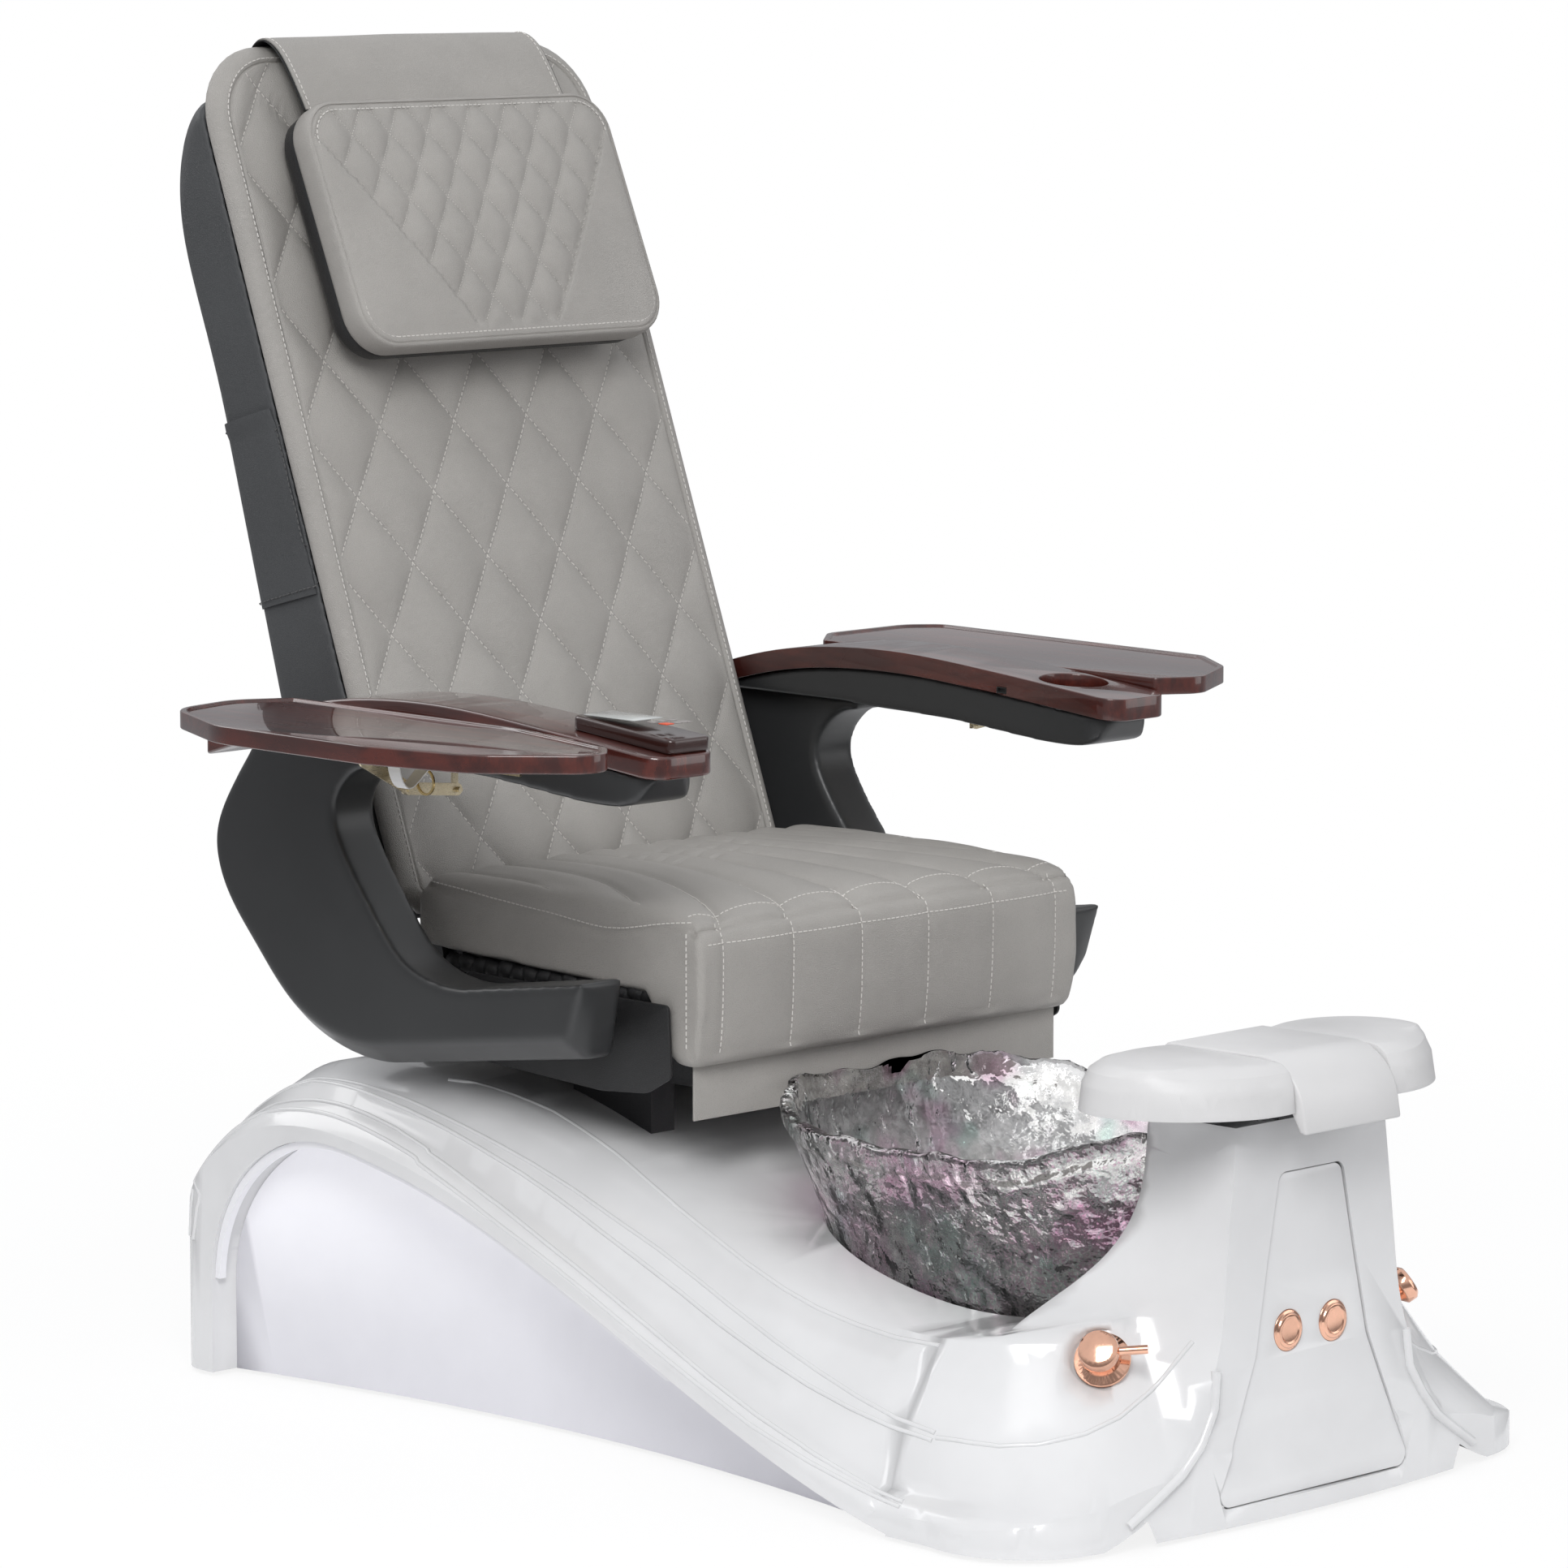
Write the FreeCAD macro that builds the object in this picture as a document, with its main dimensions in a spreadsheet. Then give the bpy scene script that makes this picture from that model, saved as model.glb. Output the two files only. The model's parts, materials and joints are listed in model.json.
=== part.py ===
"""Pedicure spa chair: a reclining massage seat on a sliding carriage, over a moulded foot spa base."""
import FreeCAD, Part
import math
import os
import re
from types import SimpleNamespace

V = FreeCAD.Vector

# Driving dimensions in millimetres, degrees for angles
SIZES = (
    ("base_half_width", 396, "half width of the base across its outer rib"),
    ("base_rear", 598, "rear end of the base on the floor"),
    ("base_front", 702, "distance of the base toe in front of the origin"),
    ("base_lift", 5, "gap under the shell, taken up by the feet"),
    ("deck_height", 361, "flat deck under the seat"),
    ("rim_height", 188, "lowest height of the inner rim beside the bowl"),
    ("rib_height", 31, "height of the rib over the lit arch"),
    ("recess_depth", 92, "depth of the lit side recess at its middle"),
    ("shell_wall", 12, "wall of the moulded base"),
    ("tower_top", 405, "top of the footrest tower"),
    ("tower_half_top", 112, "half width of the tower top"),
    ("tower_rear", 573, "rear face of the tower in front of the origin"),
    ("dome_centre", 464, "middle of the rounded base front in front of the origin"),
    ("panel_gap", 1.5, "joint round the access panel"),
    ("bowl_centre", 323.5, "bowl centre in front of the origin"),
    ("bowl_half_width", 216, "half width of the bowl at its rim"),
    ("bowl_half_length", 235, "half length of the bowl at its rim"),
    ("bowl_bottom", 106, "underside of the bowl"),
    ("bowl_rim", 346, "lowest height of the bowl rim"),
    ("bowl_wave", 36, "rise of the rim wave"),
    ("bowl_wall", 9, "glass thickness"),
    ("rim_roll", 6, "overhang of the rolled glass rim"),
    ("drain_radius", 20, "outside radius of the drain tail pipe"),
    ("drain_length", 55, "straight length of the drain tail pipe"),
    ("frame_tube", 30, "square tube of the base frame"),
    ("foot_radius", 22, "radius of a levelling foot"),
    ("rail_half_gap", 195, "half distance between the slide rails"),
    ("rail_width", 34, "width of a slide rail"),
    ("rail_height", 18, "height of a slide rail"),
    ("rail_length", 480, "length of a slide rail"),
    ("slide_travel", 120, "rearward travel of the seat"),
    ("seat_half_width", 277, "half width of the seat cushion"),
    ("seat_bottom", 480, "underside of the seat cushion"),
    ("seat_top", 566, "top of the seat cushion at its side seam"),
    ("seat_crown", 10, "crown of the seat cushion"),
    ("seat_front", 98, "front of the seat cushion in front of the origin"),
    ("seat_rear", 336, "rear end of the seat cushion at its underside"),
    ("seat_drop", 412, "lower edge of the front roll"),
    ("back_angle", 20.3, "lean of the back from upright"),
    ("pivot_y", 392, "recline pivot behind the origin"),
    ("pivot_z", 468, "height of the recline pivot"),
    ("pivot_radius", 8, "radius of the recline pivot pin"),
    ("back_half_width", 286, "half width of the back cushion"),
    ("back_start", 56, "lower end of the back cushion above the pivot"),
    ("back_top", 1018, "top of the back cushion above the pivot"),
    ("back_round", 90, "corner radius at the top of the back cushion"),
    ("back_face", 68, "distance of the cushion's face in front of the pivot"),
    ("back_crown", 6, "crown of the back cushion"),
    ("back_joint", 44, "distance of the joint between cushion and shell in front of the pivot"),
    ("shell_half_width", 288, "half width of the back shell"),
    ("shell_skin", 8, "wall of the back shell"),
    ("diamond_width", 108, "width of a quilted diamond"),
    ("diamond_height", 156, "height of a quilted diamond"),
    ("pillow_half_width", 226, "half width of the pillow"),
    ("pillow_low", 640, "lower edge of the pillow above the pivot"),
    ("pillow_high", 925, "upper edge of the pillow above the pivot"),
    ("pillow_depth", 72, "thickness of the pillow"),
    ("strap_half_width", 195, "half width of the strap over the back"),
    ("massage_travel", 350, "travel of the massage carriage"),
    ("lever_length", 58, "length of the recline lever"),
    ("lever_angle", 15, "angle of the recline lever behind the vertical"),
    ("arm_inner", 330, "inner face of the arm shells"),
    ("arm_outer", 392, "outer face of the arm shells"),
    ("arm_bevel", 22, "bevel round the rear and bottom of an arm shell"),
    ("top_inner", 294, "inner edge of the wooden arm tops"),
    ("top_outer", 387, "outer edge of the wooden arm tops"),
    ("top_thickness", 24, "thickness of the wooden arm tops"),
    ("cup_radius", 38, "radius of the cup hole"),
    ("cup_depth", 52, "depth of the cup hole"),
    ("tray_gap", 4, "gap between an arm top and its tray"),
    ("tray_outer", 604, "outer edge of the trays"),
    ("tray_level", 762, "upper face of the trays"),
    ("tray_thickness", 19, "thickness of the trays"),
    ("tray_lip", 7, "width of the raised lip round a tray"),
    ("hinge_drop", 6, "depth of the tray hinge axis below the tray"),
    ("hinge_out", 3, "distance of the hinge axis from the tray's inner edge"),
    ("hinge_pin", 2.45, "radius of the tray hinge pin"),
    ("brace_length", 70, "length of each brace link between pivots"),
    ("brace_reach", 126, "distance of the brace pivot from the hinge axis"),
    ("brace_fall", 49, "drop of the lower brace pivot below the hinge axis"),
    ("footrest_bottom", 421, "underside of the footrest pads"),
    ("footrest_top", 470, "upper face of the footrest pads"),
    ("footrest_rear", 549, "rear edge of the pads in front of the origin"),
    ("footrest_front", 744, "front lip of the centre pad in front of the origin"),
    ("footrest_half_width", 228, "half width over the two wing pads"),
    ("centre_half_width", 72, "half width of the centre pad"),
    ("pad_gap", 1, "joint between the footrest pads"),
    ("button_radius", 21, "radius of a push button"),
    ("button_half_pitch", 34, "half distance between the push buttons"),
    ("button_level", 190, "height of the push buttons"),
    ("button_travel", 4, "travel of a push button"),
    ("mixer_radius", 20.5, "radius of the mixer cap"),
    ("mixer_level", 174, "height of the mixer and hand shower"),
    ("mixer_out", 214.6, "distance of the mixer from the middle plane"),
    ("mixer_front", 603.4, "distance of the mixer in front of the origin"),
    ("fit_gap", 0.3, "clearance between soft parts and their neighbours"),
    ("running_gap", 0.05, "radial clearance of running fits"),
)

doc = FreeCAD.newDocument("PedicureSpaChair")
sheet = doc.addObject("Spreadsheet::Sheet", "Sizes")
for row, (alias, value, note) in enumerate(SIZES, start=1):
    sheet.set("A%d" % row, alias)
    sheet.set("B%d" % row, str(value))
    sheet.setAlias("B%d" % row, alias)
    sheet.set("C%d" % row, note)
doc.recompute()
NAMES = {alias for alias, value, note in SIZES}
s = SimpleNamespace(**{alias: float(sheet.get(alias)) for alias in NAMES})
SIDES = (("right", -1), ("left", 1))
AXES = {"x": V(1, 0, 0), "y": V(0, 1, 0), "z": V(0, 0, 1)}
kept = {}


def linked(value):
    """Write a number or a formula of size names as an expression on the sheet."""
    return re.sub(r"[a-z][a-z_]+", lambda word: "Sizes." + word.group(0)
                  if word.group(0) in NAMES else word.group(0), str(value))


def bind(item, **formulas):
    """Bind properties of an object to formulas of the sheet."""
    for name, formula in formulas.items():
        item.setExpression(name, linked(formula))
    return item


def put(item, x, y, z):
    """Bind the position of an object to formulas of the sheet."""
    for axis, formula in zip("xyz", (x, y, z)):
        item.setExpression(".Placement.Base." + axis, linked(formula))
    return item


def box(name, corner, size):
    """A box from its lowest corner and its three sizes, all formulas."""
    item = doc.addObject("Part::Box", name)
    bind(item, Length=size[0], Width=size[1], Height=size[2])
    return put(item, *corner)


def rod(name, start, axis, radius, length):
    """A cylinder along a main axis from its start point."""
    item = doc.addObject("Part::Cylinder", name)
    item.Placement = FreeCAD.Placement(V(), FreeCAD.Rotation(AXES["z"], AXES[axis]))
    bind(item, Radius=radius, Height=length)
    return put(item, *start)


def feature(name, shape):
    """An object that holds a shape made from the sheet's values."""
    item = doc.addObject("Part::Feature", name)
    item.Shape = shape
    return item


def fuse(name, *parts):
    item = doc.addObject("Part::MultiFuse", name)
    item.Shapes = list(parts)
    return item


def cut(name, base, *tools):
    item = doc.addObject("Part::Cut", name)
    item.Base = base
    item.Tool = tools[0] if len(tools) == 1 else fuse(name + "_tools", *tools)
    return item


def common(name, first, second):
    item = doc.addObject("Part::Common", name)
    item.Base = first
    item.Tool = second
    return item


def mirrored(name, source):
    """The same piece on the other side of the chair's middle plane."""
    item = doc.addObject("Part::Mirroring", name)
    item.Source = source
    item.Normal = V(1, 0, 0)
    return item


def group(name, *parts):
    """Several separate solids that share one file."""
    item = doc.addObject("Part::Compound", name)
    item.Links = list(parts)
    return item


def keep(name, item):
    """Mark an object as a sub-part under its own name."""
    item.Label = name
    kept[name] = item
    return item


def spot(plane, across, up, level):
    """A point of a plane at a level: yz across X, xy across Z, xz across Y."""
    if plane == "yz":
        return V(level, across, up)
    if plane == "xy":
        return V(across, up, level)
    return V(across, level, up)


def outline(points, radii, plane, level):
    """A closed wire of straight runs with rounded corners; radii is one number or one for each corner."""
    count = len(points)
    if not hasattr(radii, "__len__"):
        radii = [radii] * count
    corners = [spot(plane, across, up, level) for across, up in points]
    starts, ends, middles = [], [], []
    for n, corner in enumerate(corners):
        before = (corners[n - 1] - corner).normalize()
        after = (corners[(n + 1) % count] - corner).normalize()
        half = before.getAngle(after) / 2
        reach = radii[n] / math.tan(half)
        bisector = (before + after).normalize()
        starts.append(corner + before * reach)
        ends.append(corner + after * reach)
        middles.append(corner + bisector * (radii[n] / math.sin(half) - radii[n]))
    edges = []
    for n in range(count):
        if radii[n] > 0:
            edges.append(Part.Arc(starts[n], middles[n], ends[n]).toShape())
        edges.append(Part.LineSegment(ends[n], starts[(n + 1) % count]).toShape())
    return Part.Wire(edges)


def prism(wire, direction):
    """A solid pushed out of a flat closed wire."""
    return Part.Face(wire).extrude(direction)


def spline(points):
    """One smooth edge through points."""
    curve = Part.BSplineCurve()
    curve.interpolate(points)
    return curve.toShape()


def loop(*edges):
    return Part.Wire(Part.__sortEdges__(list(edges)))


def line(first, second):
    return Part.LineSegment(first, second).toShape()


def arc(first, middle, last):
    return Part.Arc(first, middle, last).toShape()


# Moulded base: side lines of its ribs, from a rear arch and a long swell

ARCH_START = 400
ARCH_SPRING = 120
ARCH_STEPS = 5
SWELL_STEPS = 11


def swell(y, low, high, start, end):
    """Height of a rib line that rises smoothly from the toe to the deck."""
    share = min(max((y - start) / (end - start), 0), 1)
    return low + (high - low) * share * share * (3 - 2 * share)


def rib_line(low, high, start, end, inset=0):
    """Points of a rib line from the rear foot over the arch to the toe."""
    rear = s.base_rear - inset
    points = [(rear, s.base_lift), (rear - 5, ARCH_SPRING)]
    for n in range(1, ARCH_STEPS + 1):
        turn = math.radians(90 * n / ARCH_STEPS)
        across = ARCH_START + (rear - 5 - ARCH_START) * math.cos(turn)
        points.append((across, ARCH_SPRING + (high - ARCH_SPRING) * math.sin(turn)))
    front = -s.base_front - 10
    for n in range(1, SWELL_STEPS + 1):
        across = ARCH_START + (front - ARCH_START) * n / SWELL_STEPS
        points.append((across, swell(across, low, high, start, end)))
    return points


def rib_wire(points, level, floor):
    """Closed side profile under a rib line, in the plane X = level."""
    top = [V(level, y, z) for y, z in points[1:]]
    rear_foot = V(level, points[0][0], floor)
    toe = V(level, points[-1][0], floor)
    return loop(line(rear_foot, top[0]), spline(top), line(top[-1], toe), line(toe, rear_foot))


deck = s.deck_height
lines = (
    (s.base_half_width, rib_line(s.rib_height - 22, deck - 62, -620, 400)),
    (s.base_half_width - 12, rib_line(s.rib_height - 8, deck - 45, -620, 400)),
    (s.base_half_width - 26, rib_line(s.rib_height - 3, deck - 40, -620, 400)),
    (s.base_half_width - 42, rib_line(s.rim_height - 92, deck - 24, -560, 380)),
    (s.base_half_width - 96, rib_line(s.rim_height, deck, -430, 300)),
)
sections = [rib_wire(points, -level, s.base_lift) for level, points in lines]
sections += [rib_wire(points, level, s.base_lift) for level, points in reversed(lines)]
hull_long = feature("base_hull_long", Part.makeLoft(sections, True, True))
hull_rear = common("base_hull_rear", hull_long, box("hull_rear_space", (-500, "-dome_centre", 0), (1000, 1200, 600)))

plan_front = 560
plan = loop(
    line(V(-s.base_half_width, s.base_rear - 40, 0), V(-s.base_half_width, -plan_front + 20, 0)),
    arc(V(-s.base_half_width, -plan_front + 20, 0), V(-377, -634, 0), V(-302, -s.base_front + 25, 0)),
    arc(V(-302, -s.base_front + 25, 0), V(0, -s.base_front, 0), V(302, -s.base_front + 25, 0)),
    arc(V(302, -s.base_front + 25, 0), V(377, -634, 0), V(s.base_half_width, -plan_front + 20, 0)),
    line(V(s.base_half_width, -plan_front + 20, 0), V(s.base_half_width, s.base_rear - 40, 0)),
    arc(V(s.base_half_width, s.base_rear - 40, 0), V(s.base_half_width - 12, s.base_rear - 12, 0),
        V(s.base_half_width - 40, s.base_rear + 1, 0)),
    line(V(s.base_half_width - 40, s.base_rear + 1, 0), V(-s.base_half_width + 40, s.base_rear + 1, 0)),
    arc(V(-s.base_half_width + 40, s.base_rear + 1, 0), V(-s.base_half_width + 12, s.base_rear - 12, 0),
        V(-s.base_half_width, s.base_rear - 40, 0)),
)
plan_block = feature("base_plan", prism(plan, V(0, 0, s.tower_top + 60)))


def oblong(centre, height, half_width, half_length, power):
    """Closed rounded oblong of the bowl or the base front at a height."""
    points = []
    for n in range(16):
        turn = math.radians(22.5 * n)
        across = math.copysign(abs(math.cos(turn)) ** (2 / power), math.cos(turn)) * half_width
        along = math.copysign(abs(math.sin(turn)) ** (2 / power), math.sin(turn)) * half_length
        points.append(V(across, along - centre, height))
    curve = Part.BSplineCurve()
    curve.interpolate(points, PeriodicFlag=True)
    return Part.Wire(curve.toShape())


DOME_RINGS = ((s.base_lift, 397, 262, 5), (27, 396, 258, 5), (41.5, 384, 250, 4.4), (47, 371, 244, 4),
              (103, 354, 235, 2.2), (188, 300, 186, 2), (240, 272, 162, 2))
DOME_CREST = ((-300, 188), (-464, 188), (-500, 191), (-545, 200), (-600, 211), (-650, 219), (-720, 226))
dome = Part.makeLoft([oblong(s.dome_centre, z, a, b, power) for z, a, b, power in DOME_RINGS], True, True)
crest_edge = [V(-450, y, z) for y, z in DOME_CREST]
crest_wire = loop(line(crest_edge[0], crest_edge[1]), spline(crest_edge[1:]),
                  line(crest_edge[-1], V(-450, DOME_CREST[-1][0], 0)),
                  line(V(-450, DOME_CREST[-1][0], 0), V(-450, DOME_CREST[0][0], 0)),
                  line(V(-450, DOME_CREST[0][0], 0), crest_edge[0]))
dome_low = dome.common(prism(crest_wire, V(900, 0, 0)))
dome_front = feature("base_dome", dome_low.common(Part.makeBox(1000, 400, 600, V(-500, -s.dome_centre - 400, 0))))
hull_trimmed = common("base_hull_trimmed", fuse("base_hull", hull_rear, dome_front), plan_block)


def tower_wire(height, front_half, rear_half, front, rear):
    """Four-sided tower section at a height."""
    corners = [V(-front_half, -front, height), V(front_half, -front, height),
               V(rear_half, -rear, height), V(-rear_half, -rear, height)]
    return Part.makePolygon(corners + corners[:1])


def tower_solid(shrink=0, top=0):
    """The bell-shaped tower, or its hollow when shrunk."""
    rear = s.tower_rear
    levels = (
        (s.base_lift, 300, 372, s.base_front - 2, 470),
        (50, 222, 350, s.base_front - 5, 474),
        (100, 180, 310, s.base_front - 8, 480),
        (190, 138, 225, s.base_front - 11, 490),
        (255, 128, 165, s.base_front - 13, rear - 26),
        (320, s.tower_half_top + 9, s.tower_half_top + 14, s.base_front - 14, rear - 4),
        (s.tower_top + top, s.tower_half_top, s.tower_half_top + 4, s.base_front - 16, rear),
    )
    wires = [tower_wire(z, a - shrink, b - shrink, f - shrink, r + shrink) for z, a, b, f, r in levels]
    return Part.makeLoft(wires, True, False)


tower = feature("tower_outer", tower_solid())
tower_trimmed = common("tower_trimmed", tower, plan_block)
base_body = fuse("base_body", hull_trimmed, tower_trimmed)

# Glass bowl


def bowl_solid(grow, bottom):
    """The bowl's filled form, grown outwards by a distance."""
    rise = s.bowl_rim + s.bowl_wave + 25
    levels = ((bottom, 0.60, 0.64), (bottom + 22, 0.72, 0.77), (s.bowl_bottom + 90, 0.87, 0.91),
              (s.bowl_bottom + 170, 0.94, 0.965), (s.bowl_rim - 20, 0.975, 0.985), (rise, 1.0, 1.0))
    rings = [oblong(s.bowl_centre, z, s.bowl_half_width * a + grow, s.bowl_half_length * b + grow, 2.7)
             for z, a, b in levels]
    return Part.makeLoft(rings, True, False)


def wave_block(lower):
    """Everything above the waving rim line, lowered by a distance."""
    rear = -s.bowl_centre + s.bowl_half_length
    front = -s.bowl_centre - s.bowl_half_length
    low = s.bowl_rim - lower
    points = [(rear + 60, low + 22), (rear, low + 26), (rear - 60, low + 8), (rear - 210, low),
              (front + 110, low + 8), (front, low + s.bowl_wave), (front - 60, low + s.bowl_wave + 4)]
    wide = s.bowl_half_width + 60
    wave = [V(-wide, y, z) for y, z in points]
    up = V(0, 0, 200)
    wire = loop(spline(wave), line(wave[-1], wave[-1] + up), line(wave[-1] + up, wave[0] + up),
                line(wave[0] + up, wave[0]))
    return prism(wire, V(2 * wide, 0, 0))


bowl_outer = bowl_solid(0, s.bowl_bottom)
bowl_inner = bowl_solid(-s.bowl_wall, s.bowl_bottom + s.bowl_wall + 3)
wave_cut = wave_block(0)
roll_band = bowl_solid(s.rim_roll, s.bowl_bottom).cut(wave_cut).common(wave_block(24))
bowl = bowl_outer.cut(wave_cut).fuse(roll_band).cut(bowl_inner)
drain_hole = Part.makeCylinder(s.drain_radius + 3, 60, V(0, -s.bowl_centre, s.bowl_bottom - 20))
keep("glass_bowl", feature("glass_bowl", bowl.cut(drain_hole)))
bowl_well = feature("bowl_well", bowl_solid(2.5, s.bowl_bottom - 60))

# Lit side recess


def recess_region(inset):
    """Plan of the space outside the curved recess wall, moved out by a distance."""
    wall = s.base_half_width - s.recess_depth + inset
    far = s.base_half_width + 30
    first, last = V(wall + 58, 556, -10), V(wall + 70, -500, -10)
    wire = loop(arc(first, V(wall, 110, -10), last), line(last, V(far, -500, -10)),
                line(V(far, -500, -10), V(far, 556, -10)), line(V(far, 556, -10), first))
    return prism(wire, V(0, 0, deck))


def recess_arch(inset, near, far):
    """Space under the lit arch between two distances from the middle plane."""
    rear = s.base_rear - 60 - inset
    points = [(rear, 105)]
    high = deck - 45 - s.rib_height - inset
    for n in range(1, 5):
        turn = math.radians(22.5 * n)
        points.append((rear - 158 + 158 * math.cos(turn), 105 + (high - 105) * math.sin(turn)))
    start, low = -620, s.rib_height - 8
    for y in (300, 200, 100, 0, -100, -200, -300, -400, -480 + inset):
        points.append((y, max(swell(y, low, deck - 45, start, 400) - s.rib_height - inset, s.base_lift - 8)))
    top = [V(near, y, z) for y, z in points]
    foot, toe = V(near, rear, -10), V(near, points[-1][0], -10)
    wire = loop(line(foot, top[0]), spline(top), line(top[-1], toe), line(toe, foot))
    return prism(wire, V(far - near, 0, 0))


inner_wall = s.base_half_width - s.recess_depth - 6
recess_left = recess_arch(0, inner_wall, s.base_half_width + 20).common(recess_region(0))
mirror_plane = (V(0, 0, 0), V(1, 0, 0))
recess = feature("side_recess", recess_left.fuse(recess_left.mirror(*mirror_plane)))
panel_left = recess_arch(1, inner_wall, s.base_half_width + 20).common(
    recess_region(s.fit_gap).cut(recess_region(4 + s.fit_gap)))
above_floor = Part.makeBox(1000, 1400, 500, V(-500, -700, s.base_lift))
panel_left = panel_left.common(above_floor)
keep("side_panels", group("side_panels", feature("panel_left", panel_left),
                          feature("panel_right", panel_left.mirror(*mirror_plane))))
strip_outer = recess_arch(s.fit_gap, s.base_half_width - 14, s.base_half_width - 5)
strip_left = strip_outer.cut(recess_arch(7, s.base_half_width - 15, s.base_half_width))
strip_left = strip_left.common(Part.makeBox(1000, 1040, 500, V(-500, -400, 110)))
keep("light_strips", group("light_strips", feature("strip_left", strip_left),
                           feature("strip_right", strip_left.mirror(*mirror_plane))))

# Hollow of the base and of the tower, panel opening and panel


def hollow_solid():
    """Space under the deck that the moulding leaves free."""
    wall = s.shell_wall
    points = rib_line(s.rim_height - wall - 4, deck - wall, -430, 300, wall)
    cut_front = -s.tower_rear + 60
    top = [(y, z) for y, z in points[1:] if y > cut_front]
    wide = s.base_half_width - s.recess_depth - wall
    wire_top = [V(-wide, y, z) for y, z in top]
    foot, toe = V(-wide, points[0][0], -10), V(-wide, top[-1][0], -10)
    wire = loop(line(foot, wire_top[0]), spline(wire_top), line(wire_top[-1], toe), line(toe, foot))
    return prism(wire, V(2 * wide, 0, 0))


def panel_prism(gap):
    """Tapered outline of the access panel, pushed through the tower front."""
    points = [(-150 + gap, 24 + gap), (150 - gap, 24 + gap), (86 - gap, 170), (48 - gap, 352 - gap),
              (-48 + gap, 352 - gap), (-86 + gap, 170)]
    wire = outline(points, [14, 14, 60, 12, 12, 60], "xz", -s.base_front - 30)
    return prism(wire, V(0, 70, 0))


tower_hollow = tower_solid(s.shell_wall, -s.shell_wall).common(
    Part.makeBox(800, 300, s.tower_top + 20, V(-400, -s.base_front - 20, -10)))
toe_cut = Part.makeBox(570, 130, 80, V(-285, -s.base_front + 62, -10))
button_holes = [rod("button_hole_" + side, (str(sign) + " * button_half_pitch", "-base_front - 20", "button_level"),
                    "y", "button_radius + fit_gap", 60) for side, sign in SIDES]
hollow = feature("hollow", hollow_solid())
hollow_tower = feature("hollow_tower", tower_hollow)
hollow_toe = feature("hollow_toe", toe_cut)
panel_hole = feature("panel_hole", panel_prism(0))
mixer_seats = []
FITTING_TURN, FITTING_TILT = 33, 32.6


def side_spot(sign, out):
    """A point on the axis of the fittings beside the tower, out from the shell face."""
    turn, tilt = math.radians(FITTING_TURN), math.radians(FITTING_TILT)
    normal = V(sign * math.cos(turn) * math.cos(tilt), -math.sin(turn) * math.cos(tilt), math.sin(tilt))
    return V(sign * s.mixer_out, -s.mixer_front, s.mixer_level) + normal * out, normal


for side, sign in SIDES:
    start, normal = side_spot(sign, -60)
    mixer_seats.append(feature("fitting_hole_" + side, Part.makeCylinder(13, 120, start, normal)))
    start, normal = side_spot(sign, -2)
    mixer_seats.append(feature("fitting_seat_" + side, Part.makeCylinder(33, 60, start, normal)))
shell_cut = cut("base_shell_cut", base_body, recess, bowl_well, hollow, hollow_tower, hollow_toe, panel_hole,
                *mixer_seats)
keep("base_shell", shell_cut)

panel_skin = tower_solid(2).common(panel_prism(s.panel_gap)).cut(tower_solid(2 + 4.5))
panel_obj = feature("panel_skin", panel_skin)
keep("access_panel", cut("access_panel", panel_obj, *button_holes))


# Base frame, feet and what stands inside the base

tube = "frame_tube"
frame_parts = []
for side, sign in SIDES:
    edge = "%d * 225 - frame_tube / 2" % sign
    frame_parts.append(box("frame_side_" + side, (edge, -500, "base_lift + 11"), (tube, 1040, tube)))
    for n, y in enumerate((305, 365)):
        frame_parts.append(box("frame_post_%s_%d" % (side, n), (edge, y, "base_lift + 11 + frame_tube"),
                               (tube, tube, "deck_height - shell_wall - base_lift - 11.7 - frame_tube")))
frame_parts.append(box("frame_nose", (-35, -665, "base_lift + 11"), (70, 165, tube)))
for n, y in enumerate((-500, -90, 200, 510)):
    frame_parts.append(box("frame_cross_%d" % n, ("-225 + frame_tube / 2", y, "base_lift + 11"),
                           ("450 - frame_tube", tube, tube)))
cradle = box("bowl_cradle", (-120, "-bowl_centre - 120", "bowl_bottom - 6.3"), (240, 240, 6))
cradle_legs = [box("cradle_leg_%d" % n, (-120, "-bowl_centre + %d" % y, "base_lift + 11 + frame_tube"),
                   (240, 12, "bowl_bottom - 17.3 - base_lift - frame_tube")) for n, y in enumerate((-120, 108))]
cradle_ties = [box("cradle_tie_%d" % n, (-225, "-bowl_centre + %d" % y, "base_lift + 11"), (450, 30, tube))
               for n, y in enumerate((-129, 99))]
frame_all = fuse("frame_all", cradle, *(frame_parts + cradle_legs + cradle_ties))
keep("base_frame", cut("base_frame", frame_all,
                       rod("drain_clearance", (0, "-bowl_centre", 20), "z", "drain_radius + 6", 120)))

feet = []
for side, sign in SIDES:
    for n, (x, y) in enumerate(((225, -470), (225, 215), (225, 520))):
        pad = rod("foot_pad_%s_%d" % (side, n), (sign * x, y, 0), "z", "foot_radius", 9)
        stem = rod("foot_stem_%s_%d" % (side, n), (sign * x, y, 9), "z", 6, "base_lift + 1.7")
        feet.append(fuse("foot_%s_%d" % (side, n), pad, stem))
keep("levelling_feet", group("levelling_feet", *feet))

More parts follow.
